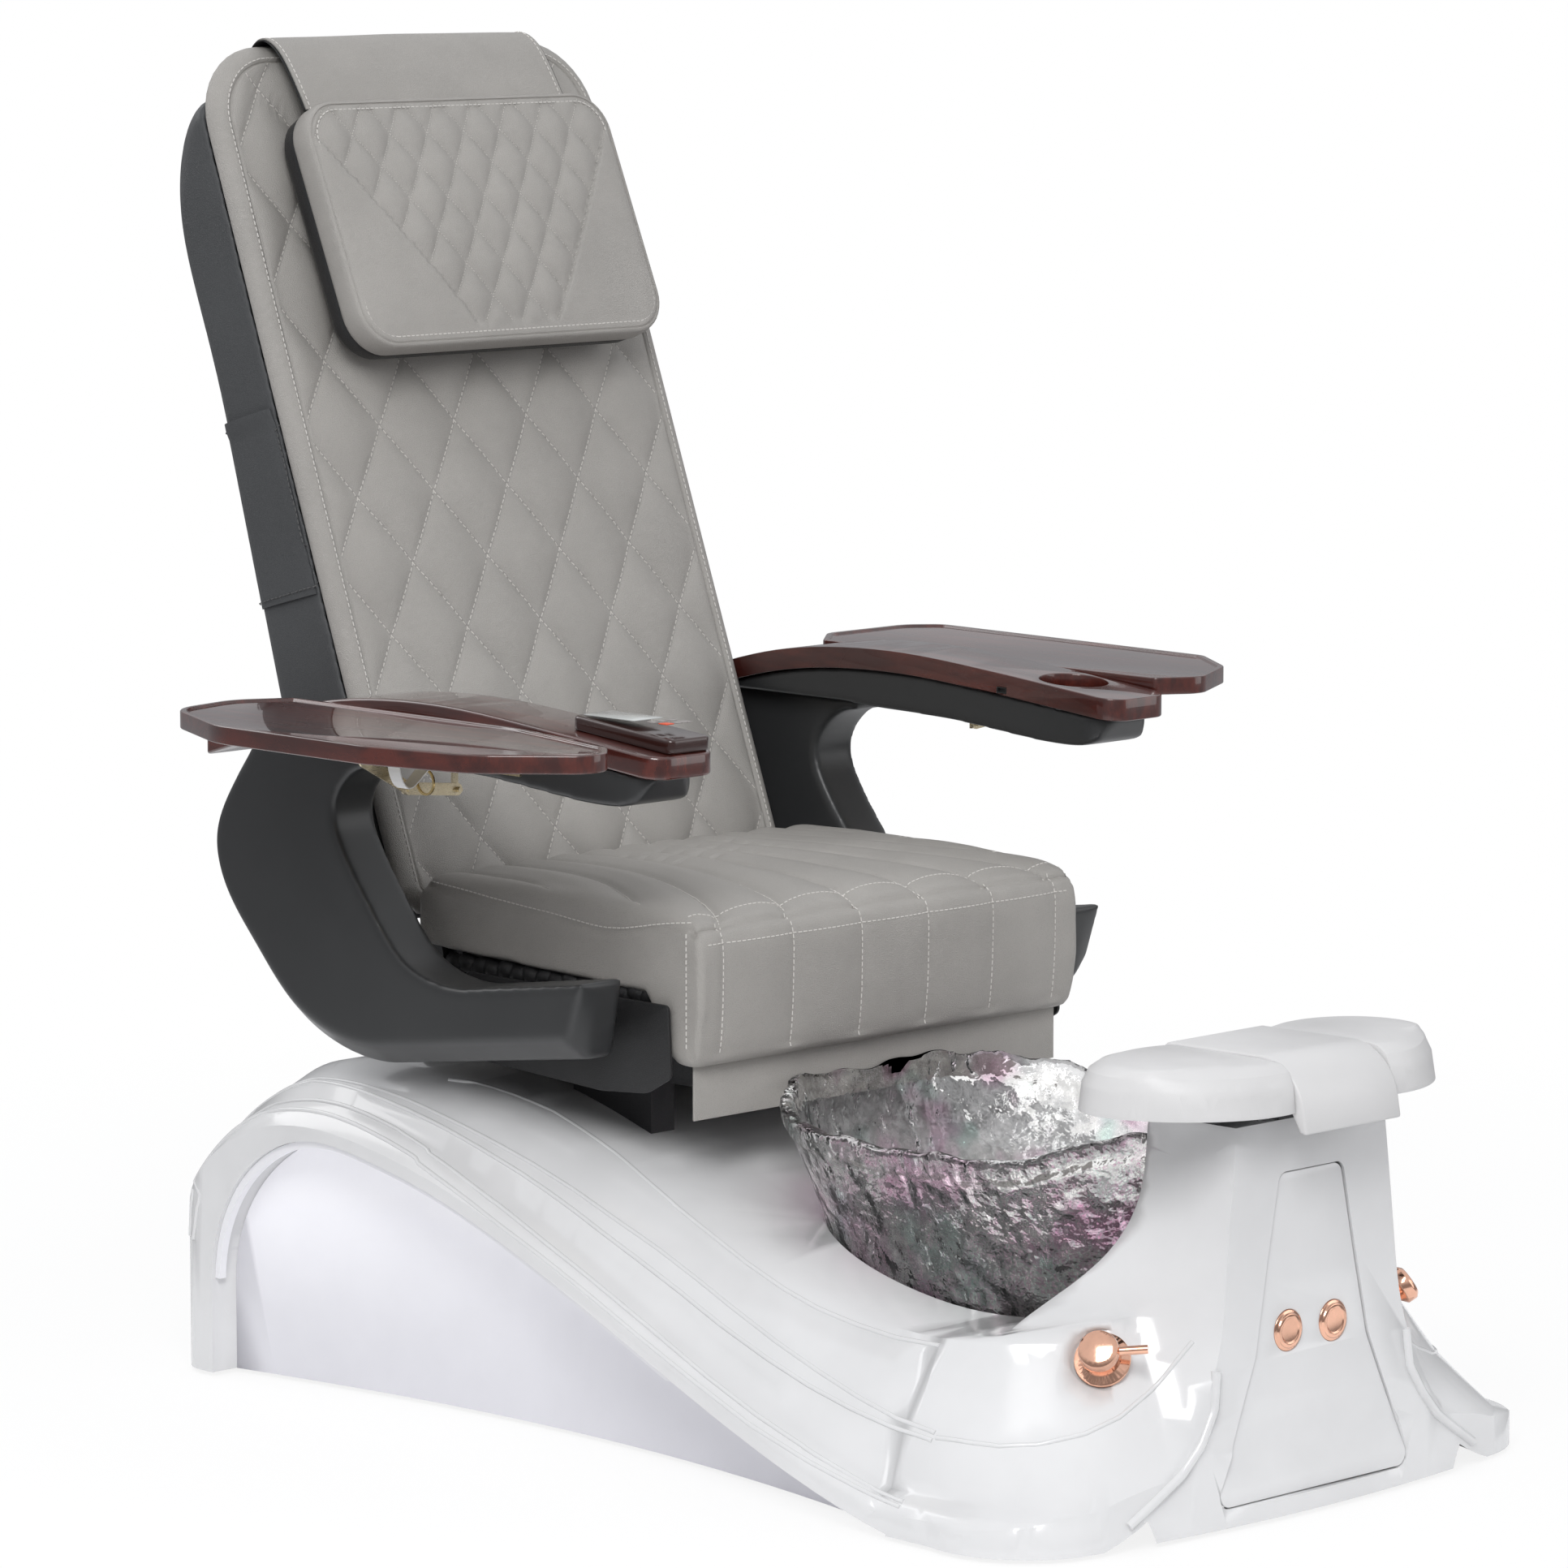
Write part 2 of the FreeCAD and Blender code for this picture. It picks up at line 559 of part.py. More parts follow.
flange = rod("drain_flange", (0, "-bowl_centre", "bowl_bottom + bowl_wall + 3.3"), "z", "drain_radius + 12", 4)
neck = rod("drain_neck", (0, "-bowl_centre", "bowl_bottom - 6"), "z", "drain_radius + 2.6", "bowl_wall + 11")
tail_pipe = rod("drain_tail", (0, "-bowl_centre", "bowl_bottom - 6 - drain_length"), "z", "drain_radius",
                "drain_length")
drain_bore = rod("drain_bore", (0, "-bowl_centre", "bowl_bottom - 7 - drain_length"), "z", "drain_radius - 3",
                 "drain_length + bowl_wall + 20")
keep("drain", cut("drain", fuse("drain_solid", flange, neck, tail_pipe), drain_bore))

jet_body = rod("jet_body", (0, -652, 205), "y", 30, 74)
jet_nut = rod("jet_nut", (0, -579, 205), "y", 20, 35.4)
jet_foot = box("jet_foot", (-26, -645, "base_lift + 11.3 + frame_tube"), (52, 50, 145))
keep("jet_motor", fuse("jet_motor", jet_body, jet_nut, jet_foot))

supply = box("supply_box", (-90, 240, "base_lift + 11 + frame_tube + 0.3"), (180, 120, 60))
supply_lid = box("supply_lid", (-94, 236, "base_lift + 71.3 + frame_tube"), (188, 128, 8))
supply_foot = box("supply_foot", (-60, 214, "base_lift + 11 + frame_tube + 0.3"), (120, 30, 6))
keep("control_box", fuse("control_box", supply, supply_lid, supply_foot))


def turned(name, profile, start, direction):
    """A body revolved from its half profile (radius, height), placed on an axis."""
    body = doc.addObject("PartDesign::Body", name)
    sketch = body.newObject("Sketcher::SketchObject", name + "_profile")
    plane = [item for item in body.Origin.OriginFeatures if item.Role == "XZ_Plane"][0]
    sketch.AttachmentSupport = [(plane, "")]
    sketch.MapMode = "FlatFace"
    points = [V(radius, height, 0) for radius, height in profile]
    for n, point in enumerate(points):
        sketch.addGeometry(Part.LineSegment(point, points[(n + 1) % len(points)]), False)
    revolution = body.newObject("PartDesign::Revolution", name + "_turn")
    revolution.Profile = sketch
    revolution.ReferenceAxis = (sketch, ["V_Axis"])
    revolution.Angle = 360
    body.Placement = FreeCAD.Placement(start, FreeCAD.Rotation(V(0, 0, 1), direction))
    return body


# Push buttons, mixer, hand shower

for name, (side, sign) in zip(("jet_button", "light_button"), SIDES):
    r = s.button_radius
    profile = [(0, 0), (0, 16), (r - 9, 16), (r - 8, 17), (r - 4, 17), (r - 3, 15), (r, 14), (r, 0)]
    front = V(sign * s.button_half_pitch, -s.base_front + 27, s.button_level)
    keep(name, turned(name, profile, front, V(0, -1, 0)))
keep("button_housings", group("button_housings", *[
    cut("button_housing_" + side,
        rod("button_cup_" + side, ("%d * button_half_pitch" % sign, "-base_front + 18.8", "button_level"), "y",
            "button_radius + 6", 28),
        rod("button_well_" + side, ("%d * button_half_pitch" % sign, "-base_front + 18.7", "button_level"), "y",
            "button_radius + fit_gap", "8.4 + button_travel + 1")) for side, sign in SIDES]))

mixer_start, mixer_axis = side_spot(-1, 1.3)
m = s.mixer_radius
keep("mixer_body", turned("mixer_body", [(0, -52), (0, 8), (m - 4, 8), (m - 4, 5), (m + 8, 1), (m + 8, -3),
                                         (12.5, -3), (12.5, -52)], mixer_start, mixer_axis))
cap = turned("mixer_cap", [(0, 8.4), (0, 33), (m - 6, 33), (m - 1, 31), (m, 27), (m, 8.4)], mixer_start, mixer_axis)
lever_way = V(0.71, -0.7, 0)
lever_way = (lever_way - mixer_axis * lever_way.dot(mixer_axis)).normalize()
lever_start = mixer_start + mixer_axis * 21 + lever_way * (m - 6)
lever = feature("mixer_lever", Part.makeCylinder(4.6, 34, lever_start, lever_way))
keep("mixer_handle", fuse("mixer_handle", cap, lever))

holder_start, holder_axis = side_spot(1, 1.3)
keep("shower_holder", turned("shower_holder", [(11, -30), (11, 6), (17, 6), (24, 3), (24, -3), (12.5, -3),
                                               (12.5, -30)], holder_start, holder_axis))
keep("hand_shower", turned("hand_shower", [(0, -70), (0, 30), (15, 30), (19, 26), (19, 16), (11, 9), (10.6, -70)],
                           holder_start, holder_axis))

# Rails and slide motor on the deck

rails = []
for side, sign in SIDES:
    edge = "%d * rail_half_gap - rail_width / 2" % sign
    rail = box("rail_" + side, (edge, 50, "deck_height"), ("rail_width", "rail_length", "rail_height"))
    slot = box("rail_slot_" + side, ("%d * rail_half_gap - 5" % sign, 49, "deck_height + 6"),
               (10, "rail_length + 2", "rail_height"))
    riser = box("riser_" + side, (edge, 50, "deck_height - 110"), ("rail_width", 60, 110))
    riser_rear = box("riser_rear_" + side, (edge, 110, "deck_height - 60"), ("rail_width", 60, 60))
    rails.append(cut("lower_rail_" + side, fuse("rail_solid_" + side, rail, riser, riser_rear), slot, base_body))
tie = box("rail_tie", ("-rail_half_gap + rail_width / 2", 400, "deck_height"), ("2 * rail_half_gap - rail_width", 40, 6))
keep("lower_rails", fuse("lower_rails", tie, *rails))

motor_tube = rod("slide_tube", (110, 152, "deck_height + 22"), "y", 14, 268)
motor_foot = box("slide_foot", (96, 404, "deck_height + 6"), (28, 30, 30))
motor_case = box("slide_case", (84, 330, "deck_height + 6.3"), (22, 80, 34))
motor_bore = rod("slide_bore", (110, 149, "deck_height + 22"), "y", "6 + running_gap", 200)
keep("slide_motor", cut("slide_motor", fuse("slide_solid", motor_tube, motor_foot, motor_case), motor_bore))
slide_bar = rod("slide_bar", (110, 20, "deck_height + 22"), "y", 6, 160)
slide_lug = box("slide_lug", (102, 2, "deck_height + 14"), (16, 24, 52.7))
keep("slide_rod", fuse("slide_rod", slide_bar, slide_lug))

# Seat frame

frame_level = "deck_height + rail_height + 0.3"
seat_parts = []
for side, sign in SIDES:
    edge = "%d * rail_half_gap - 14" % sign
    seat_parts.append(box("runner_" + side, (edge, -20, frame_level), (28, 440, 20)))
    seat_parts.append(box("runner_key_" + side, ("%d * rail_half_gap - 4" % sign, -20, "deck_height + 8"), (8, 440, 22)))
    seat_parts.append(box("seat_side_" + side, (edge, -20, "deck_height + rail_height + 18"), (28, 440, 44)))
    seat_parts.append(box("pivot_ear_" + side, ("%d * (rail_half_gap + 10) - 4" % sign, 350, 430), (8, 68, 56)))
    for n, y in enumerate((60, 330)):
        seat_parts.append(box("arm_tube_%s_%d" % (side, n), ("%d * (arm_inner - 68.3) - 68" % sign, y, 424), (136, 40, 26)))
for n, y in enumerate((-14, 60, 330)):
    seat_parts.append(box("seat_cross_%d" % n, ("-rail_half_gap", y, 428), ("2 * rail_half_gap", 40, 22)))
pan = box("seat_pan", ("-seat_half_width + 22", -20, "seat_bottom - 8"), ("2 * (seat_half_width - 22)", 330, 7.7))
pan_rests = [box("pan_rest_%d" % n, (-200, y, 440), (400, 20, "seat_bottom - 448")) for n, y in enumerate((-14, 270))]
pivot_holes = rod("pivot_holes", (-260, "pivot_y", "pivot_z"), "x", "pivot_radius + running_gap", 520)
anchor = box("recline_anchor", (-14, 46, 398), (28, 18, 36))
keep("seat_frame", cut("seat_frame", fuse("seat_frame_solid", pan, anchor, *(seat_parts + pan_rests)), pivot_holes))

# Soft seat and skirts


def cushion_section(half, bottom, side_top, crown, level, bulge=10, pinch=6):
    """Closed cross section of a cushion across X at Y = level: flat below, full sides, crowned top."""
    low_left, low_right = V(-half + pinch, level, bottom), V(half - pinch, level, bottom)
    top_left, top_right = V(-half, level, side_top), V(half, level, side_top)
    middle = (bottom + side_top) / 2
    return loop(line(low_right, low_left), arc(low_left, V(-half - bulge + pinch, level, middle), top_left),
                arc(top_left, V(0, level, side_top + crown), top_right),
                arc(top_right, V(half + bulge - pinch, level, middle), low_right))


seat_stations = (
    (-s.seat_front, 0.90, s.seat_drop + 14, -26, 2), (-s.seat_front + 5, 0.965, s.seat_drop, -10, 5),
    (-s.seat_front + 26, 0.995, s.seat_drop + 2, 0, 8), (-s.seat_front + 48, 1.0, s.seat_drop + 22, 1, 9),
    (-s.seat_front + 70, 1.0, s.seat_bottom, 1, 10), (60, 1.0, s.seat_bottom, 0, 10),
    (220, 1.0, s.seat_bottom, -2, 6), (s.seat_rear - 12, 0.985, s.seat_bottom, -10, 4),
    (s.seat_rear, 0.95, s.seat_bottom + 10, -24, 2))
seat_wires = [cushion_section(s.seat_half_width * part, low, s.seat_top + up, crown, y)
              for y, part, low, up, crown in seat_stations]
seat_solid = Part.makeLoft(seat_wires, True, True)
for n in range(6):
    across = s.seat_half_width * (n - 2.5) / 3.1
    curve = arc(V(across * 0.72, s.seat_rear + 8, s.seat_top + 12), V(across * 0.86, 120, s.seat_top + 21),
                V(across, -s.seat_front - 6, s.seat_top + 4))
    groove = Part.Wire(curve).makePipeShell(
        [Part.Wire(Part.Circle(curve.valueAt(curve.FirstParameter), curve.tangentAt(curve.FirstParameter), 9).toShape())],
        True, True)
    seat_solid = seat_solid.cut(groove)
keep("seat_cushion", feature("seat_cushion", seat_solid))

keep("front_skirt", box("front_skirt", ("-seat_half_width + 6", "-seat_front + 20", 352),
                        ("2 * seat_half_width - 12", 3, "seat_drop - 350.9")))
skirt_points = [(-62, 474), (250, 474), (250, 382), (40, 372), (-30, 378), (-66, 398)]
skirt_left = feature("skirt_left_sheet", prism(outline(skirt_points, [6, 6, 30, 60, 30, 10], "yz", 290), V(4, 0, 0)))
skirt_left = cut("skirt_left", skirt_left, box("skirt_slot", (280, 59.7, 423.7), (30, 40.6, 26.6)))
keep("side_skirts", group("side_skirts", skirt_left, mirrored("skirt_right", skirt_left)))

# Arm shells, housings and wooden tops


def shifted(points, distance):
    """Points of an open curve moved square to it, to its right hand side."""
    result = []
    for n, (y, z) in enumerate(points):
        before, after = points[max(n - 1, 0)], points[min(n + 1, len(points) - 1)]
        run, rise = after[0] - before[0], after[1] - before[1]
        length = math.hypot(run, rise)
        result.append((y + rise / length * distance, z - run / length * distance))
    return result


ARM_SPINE = [(500, 709), (543, 656), (566, 600), (556, 550), (500, 478), (428, 412), (366, 386), (292, 378)]
ARM_THROAT = [(124, 482), (190, 480), (240, 496), (296, 551), (338, 606), (352, 645), (330, 682), (286, 694)]
ARM_TOE = [(-20, 421), (-36, 505)]


def arm_wire(level, inset):
    """Side outline of an arm shell, drawn in at its spine and foot."""
    spine = [(y, z) for y, z in shifted(ARM_SPINE, inset)]
    spine[0] = (ARM_SPINE[0][0] - inset, ARM_SPINE[0][1])
    toe = [(ARM_TOE[0][0] + inset * 0.3, ARM_TOE[0][1] + inset), ARM_TOE[1]]
    spine_points = [V(level, y, z) for y, z in spine]
    throat_points = [V(level, y, z) for y, z in ARM_THROAT]
    low, high = [V(level, y, z) for y, z in toe]
    crest = V(level, ARM_THROAT[-1][0], ARM_SPINE[0][1])
    return loop(spline(spine_points), line(spine_points[-1], low), line(low, high), line(high, throat_points[0]),
                spline(throat_points), line(throat_points[-1], crest), line(crest, spine_points[0]))


TOP_LINE = [(-145, 747), (-103, 751), (-19, 759), (74, 767), (168, 773), (250, 773), (313, 769), (379, 760),
            (470, 738), (569, 709)]


def top_strip(level, lower, upper, first=0, last=None):
    """Closed side outline between two depths below the arm top's upper face."""
    points = TOP_LINE[first:last]
    above = [V(level, y, z - upper) for y, z in points]
    below = [V(level, y, z - lower) for y, z in points]
    return loop(spline(above), line(above[-1], below[-1]), spline(below), line(below[0], above[0]))


def arm_plan(inner, outer, nose, tail, nose_round, tail_round, level=600, height=250):
    """Plan of an arm piece with a rounded nose, as a tall block."""
    points = [(inner, tail), (inner, nose), (outer, nose), (outer, tail)]
    return prism(outline(points, [tail_round, nose_round, nose_round, tail_round], "xy", level), V(0, 0, height))


arm_wires = [arm_wire(s.arm_inner, 0), arm_wire(s.arm_outer - 26, 0), arm_wire(s.arm_outer, s.arm_bevel)]
arm_left = Part.makeLoft(arm_wires, True, True)
over_shell = prism(top_strip(s.arm_inner - 20, s.top_thickness + s.running_gap, -60), V(100, 0, 0))
keep("arm_shell_left", feature("arm_shell_left", arm_left.cut(over_shell)))
keep("arm_shell_right", mirrored("arm_shell_right", kept["arm_shell_left"]))

top_wide = s.top_outer - s.top_inner
arm_top = prism(top_strip(s.top_inner - 5, s.top_thickness, 0), V(top_wide + 10, 0, 0))
arm_top = arm_top.common(arm_plan(s.top_inner, s.top_outer, -142, 569, 26, 10))
top_left = feature("arm_top_plain", arm_top)
cup_place = ("(top_inner + top_outer) / 2 + 2", -38)
cup_hole = rod("cup_hole", (cup_place[0], cup_place[1], "757 - cup_depth"), "z", "cup_radius", "cup_depth + 40")
usb_slot = box("usb_slot", ("top_inner - 1", 18, 741), (7, 15, 7))
keep("arm_top_left", cut("arm_top_left", top_left, cup_hole, usb_slot))
keep("arm_top_right", mirrored("arm_top_right", top_left))
keep("usb_socket", cut("usb_socket", box("usb_case", ("top_inner + 0.3", 18.3, 741.3), (5, 14.4, 6.4)),
                       box("usb_mouth", ("top_inner + 0.2", 19.3, 742.3), (4, 12.4, 4.4))))

HOUSING_FOOT = [(-107, 698), (-81, 692), (-54, 691), (34, 697), (127, 704), (213, 706), (284, 709.3)]
HOUSING_REAR = 505


def housing_solid():
    """Black carrier under an arm top, from its tapered nose to the top of the arm shell."""
    inner, outer = s.top_inner + 7, s.top_outer - 2
    foot = [V(inner, y, z) for y, z in HOUSING_FOOT]
    nose, tail = V(inner, -124, 726), V(inner, HOUSING_REAR, HOUSING_FOOT[-1][1])
    above_nose, above_tail = V(inner, -124, 800), V(inner, HOUSING_REAR, 800)
    side = loop(spline(foot), line(foot[0], nose), line(nose, above_nose), line(above_nose, above_tail),
                line(above_tail, tail), line(tail, foot[-1]))
    under = [V(inner, y, z - s.top_thickness - 0.05) for y, z in TOP_LINE]
    low_front, low_rear = V(inner, TOP_LINE[0][0], 640), V(inner, TOP_LINE[-1][0], 640)
    below = loop(spline(under), line(under[-1], low_rear), line(low_rear, low_front), line(low_front, under[0]))
    across = V(outer - inner, 0, 0)
    return prism(side, across).common(prism(below, across)).common(
        arm_plan(inner, outer, -124, HOUSING_REAR + 1, 34, 4))


housing_plain = feature("arm_housing_plain", housing_solid())
keep("arm_housing_left", cut("arm_housing_left", housing_plain,
                             rod("cup_pocket", (cup_place[0], cup_place[1], "757 - cup_depth"), "z", "cup_radius", 90)))
keep("arm_housing_right", mirrored("arm_housing_right", housing_plain))

# Remote in its wedge on the right arm

remote_points = [(-29, 4), (29, 4), (29, 154), (-29, 154)]
remote_solid = prism(outline(remote_points, [8, 8, 12, 12], "xy", 0), V(0, 0, 17))
remote_obj = feature("remote_solid", remote_solid)
remote_obj.Placement = FreeCAD.Placement(V(-(s.top_inner + s.top_outer) / 2 + 8, -141, 746.2),
                                         FreeCAD.Rotation(V(1, 0, 0), 5.1))
keep("remote", cut("remote", remote_obj, mirrored("arm_top_seat", top_left)))

# Trays, their plates, hinges and folding braces


def tray_from(points, radii):
    """Tray with a raised lip round its upper face."""
    bottom = s.tray_level - s.tray_thickness
    wire = outline(points, radii, "xy", bottom)
    slab = prism(wire, V(0, 0, s.tray_thickness))
    inner = outline(points, radii, "xy", s.tray_level - 3).makeOffset2D(-s.tray_lip)
    return slab.cut(prism(inner, V(0, 0, 10)))


near = s.top_outer + s.tray_gap
far = s.tray_outer
right_points = [(-near, 412), (-near, 60), (-near - 40, -120), (-near - 90, -172), (-far + 28, -70), (-far, 60),
                (-far, 290), (-far + 60, 428), (-near - 60, 446)]
keep("tray_right", feature("tray_right", tray_from(right_points, [12, 200, 40, 34, 90, 60, 120, 60, 60])))
left_points = [(near, 400), (near, -112), (near + 46, -142), (far - 75, -92), (far - 16, -8), (far, 416),
               (far - 34, 446), (near + 52, 446)]
keep("tray_left", feature("tray_left", tray_from(left_points, [10, 10, 30, 40, 34, 26, 40, 30])))

hinge_x = near + s.hinge_out
hinge_z = s.tray_level - s.tray_thickness - s.hinge_drop
KNUCKLE = 4.5
FIXED_KNUCKLES = ((60, 30), (210, 30))
MOVING_KNUCKLE = (92, 116)
upper_pivot = (hinge_x + s.brace_reach, hinge_z - 7)
lower_pivot = (hinge_x - 4.5, hinge_z - s.brace_fall)


def bar_y(x, z, start, radius, length):
    return Part.makeCylinder(radius, length, V(x, start, z), V(0, 1, 0))


def block(x0, x1, y0, y1, z0, z1):
    return Part.makeBox(x1 - x0, y1 - y0, z1 - z0, V(x0, y0, z0))


wall_x = s.top_outer - 2 + 0.05
bracket = block(wall_x, wall_x + 2.5, 60, 240, hinge_z - 27, hinge_z + 2)
for start, length in FIXED_KNUCKLES:
    bracket = bracket.fuse([bar_y(hinge_x, hinge_z, start, KNUCKLE, length),
                            block(wall_x, hinge_x, start, start + length, hinge_z - 4.5, hinge_z - 1)])
bracket = bracket.fuse([bar_y(hinge_x, hinge_z, 60, s.hinge_pin, 180),
                        block(wall_x, lower_pivot[0] + 3, 158, 161, lower_pivot[1] - 6, hinge_z - 8),
                        bar_y(lower_pivot[0], lower_pivot[1], 149, 2.9, 12)])
bracket_left = feature("brace_bracket_left_solid", bracket)
keep("brace_bracket_left", bracket_left)
keep("brace_bracket_right", mirrored("brace_bracket_right", bracket_left))

tray_under = s.tray_level - s.tray_thickness
start, length = MOVING_KNUCKLE
plate = block(hinge_x - 1, hinge_x + 150, start + 3, start + length - 3, tray_under - 2.2, tray_under - 0.02)
plate = plate.fuse([bar_y(hinge_x, hinge_z, start, KNUCKLE, length),
                    block(upper_pivot[0] - 6, upper_pivot[0] + 6, 146, 149, upper_pivot[1] - 6, tray_under - 2),
                    bar_y(upper_pivot[0], upper_pivot[1], 146, 2.9, 12)])
plate = plate.cut(bar_y(hinge_x, hinge_z, start - 1, s.hinge_pin + s.running_gap, length + 2))
plate_left = feature("tray_plate_left_solid", plate)
keep("tray_plate_left", plate_left)
keep("tray_plate_right", mirrored("tray_plate_right", plate_left))


def brace_elbow():
    """Elbow between the two brace links, just under the straight line of their pivots."""
    run, rise = upper_pivot[0] - lower_pivot[0], upper_pivot[1] - lower_pivot[1]
    span = math.hypot(run, rise)
    sag = math.sqrt(max(s.brace_length ** 2 - span ** 2 / 4, 0))
    return (lower_pivot[0] + run / 2 + rise / span * sag, lower_pivot[1] + rise / 2 - run / span * sag)


def link(first, last, level, pin_from, pin_length):
    """Flat link with rounded ends between two pivots, with a rivet at its last end."""
    length = math.hypot(last[0] - first[0], last[1] - first[1])
    turn = math.degrees(math.atan2(last[1] - first[1], last[0] - first[0]))
    bar = Part.makeBox(length, 3, 13, V(0, level, -6.5))
    bar = bar.fuse([bar_y(0, 0, level, 6.5, 3), bar_y(length, 0, level, 6.5, 3)])
    bar = bar.cut(bar_y(0, 0, level - 1, 2.9 + s.running_gap, 5))
    bar = bar.fuse(bar_y(length, 0, pin_from, 3.4, pin_length)).removeSplitter()
    bar.Placement = FreeCAD.Placement(V(first[0], 0, first[1]), FreeCAD.Rotation(V(0, -1, 0), turn))
    return bar


elbow = brace_elbow()
lower_left = feature("brace_lower_left_solid", link(lower_pivot, elbow, 154, 154, 4.5))
keep("brace_lower_left", lower_left)
keep("brace_lower_right", mirrored("brace_lower_right", lower_left))
upper_left = feature("brace_upper_left_solid", link(upper_pivot, elbow, 150, 148.5, 4.5))
keep("brace_upper_left", upper_left)
keep("brace_upper_right", mirrored("brace_upper_right", upper_left))

strap_path = [(-upper_pivot[0] + 22, tray_under - 2.4), (-upper_pivot[0] + 20, tray_under - 26),
              (-upper_pivot[0] + 32, tray_under - 42), (-upper_pivot[0] + 50, tray_under - 32),
              (-upper_pivot[0] + 64, tray_under - 22)]
tape = spline([V(x, 118, z) for x, z in strap_path]).discretize(16)
tape_back = [V(x, 118, z) for x, z in shifted([(point.x, point.z) for point in tape], -1.2)]
tape_ring = Part.makePolygon(tape + tape_back[::-1] + tape[:1])
keep("release_strap", feature("release_strap", prism(tape_ring, V(0, 18, 0))))
ring_start = V(strap_path[4][0] - 3, 127, strap_path[4][1] - 16.2)
ring_band = Part.makeCylinder(14, 2, ring_start, V(1, 0, 0)).cut(Part.makeCylinder(11.6, 2, ring_start, V(1, 0, 0)))
keep("release_ring", feature("release_ring", ring_band))

# Footrest

front = s.footrest_front
bed = box("footrest_bed", (-70, "-base_front + 24", "tower_top"), (140, 100, 3))
lips = [box("footrest_lip_" + side, ("%d * 66 - 4" % sign, "-base_front + 24", "tower_top + 3"), (8, 100, 6))
        for side, sign in SIDES]
keep("footrest_bracket", fuse("footrest_bracket", bed, *lips))
tongue = box("footrest_tongue", (-61.7, "-base_front + 4", "tower_top + 3.3"), (123.4, 118, 6))
plate_bar = box("footrest_bar", (-150, "-base_front + 14", "tower_top + 9.3"),
                (300, 96, "footrest_bottom - tower_top - 9.6"))
keep("footrest_slide", fuse("footrest_slide", tongue, plate_bar))


def wing_wire(level, inset):
    """Plan of a wing pad: a straight inner edge and a full outer curve."""
    inner = s.centre_half_width + s.pad_gap
    outer = s.footrest_half_width - inset
    rear, nose = -s.footrest_rear - inset * 0.6, -s.footrest_front + 14 + inset
    inner_nose = V(inner, nose, level)
    inner_rear = V(inner, rear - 2, level)
    points = [inner_rear, V(inner + 60, rear + 8, level), V(outer - 34, rear - 2, level),
              V(outer - 3, rear - 40, level), V(outer - 10, rear - 96, level), V(outer - 50, nose + 32, level),
              V(outer - 100, nose + 4, level), inner_nose]
    return loop(spline(points), line(inner_nose, inner_rear))


rise = s.footrest_top - s.footrest_bottom
wing = Part.makeLoft([wing_wire(s.footrest_bottom, 0), wing_wire(s.footrest_bottom + rise * 0.55, 3),
                      wing_wire(s.footrest_top - 9, 9), wing_wire(s.footrest_top - 2, 19), wing_wire(s.footrest_top, 30)],
                     True, True)
wing_solid = feature("wing_left_solid", wing)
keep("wing_left", wing_solid)
keep("wing_right", mirrored("wing_right", wing_solid))
half = s.centre_half_width
crest = s.footrest_top + 3
rest_rear, low = -s.footrest_rear, s.footrest_bottom
rim = [V(-half, y, z) for y, z in (
    (rest_rear, low), (rest_rear, crest - 12), (rest_rear - 4, crest - 5), (rest_rear - 14, crest - 2),
    (-front + 66, crest), (-front + 22, crest - 17), (-front + 4, crest - 52), (-front, low - 21),
    (-front + 10, low - 21), (-front + 22, low))]
centre_wire = loop(line(rim[0], rim[1]), arc(*rim[1:4]), line(rim[3], rim[4]), arc(*rim[4:7]), line(rim[6], rim[7]),
                   line(rim[7], rim[8]), line(rim[8], rim[9]), line(rim[9], rim[0]))
keep("centre_pad", feature("centre_pad", prism(centre_wire, V(2 * half, 0, 0))))
spout_pipe = rod("spout_pipe", (0, "-tower_rear + 5.7", 393), "y", 7, 35)
spout_flange = rod("spout_flange", (0, "-tower_rear + 5.6", 393), "y", 9, 4)
spout_mouth = rod("spout_mouth", (0, "-tower_rear + 41", 366), "z", 8, 36)
keep("fill_spout", fuse("fill_spout", spout_pipe, spout_flange, spout_mouth))

# Back: modelled upright with its origin on the recline pivot, then leaned. Y is then the depth, Z the height

LEAN = FreeCAD.Placement(V(0, s.pivot_y, s.pivot_z), FreeCAD.Rotation(V(1, 0, 0), -s.back_angle))


def leaned(item):
    """Move a piece of the back from its upright place to the leaned one."""
    item.Placement = LEAN
    return item


pivot_pins = [rod("pivot_pin_" + side, (str(min(196 * sign, 219 * sign)), 0, 0), "x", "pivot_radius", 23)
              for side, sign in SIDES]
frame_bars = []
for side, sign in SIDES:
    edge = "%d * (rail_half_gap + 20) - 4" % sign
    frame_bars.append(box("back_bar_" + side, (edge, -22, 0), (8, 24, 900)))
    frame_bars.append(rod("back_eye_" + side, ("%d * (rail_half_gap + 20) - 4" % sign, 0, 0), "x", 22, 8))
for n, z in enumerate((50, 850)):
    frame_bars.append(box("back_cross_%d" % n, ("-shell_half_width + shell_skin + fit_gap", -19.7, z),
                          ("2 * (shell_half_width - shell_skin - fit_gap)", 21, 20)))
lever_turn = math.radians(s.lever_angle + s.back_angle)
lever_end = V(0, s.lever_length * math.sin(lever_turn), -s.lever_length * math.cos(lever_turn))
lever_side = V(0, math.cos(lever_turn), math.sin(lever_turn)) * 8
lever_tip = lever_end * (1 + 8 / s.lever_length)
lever_root = V(0, -8, 56)
lever_points = [lever_root - V(0, 8, 0), lever_root + V(0, 16, 0), lever_end + lever_side, lever_tip + lever_side * 0.5,
                lever_tip - lever_side * 0.5, lever_end - lever_side]
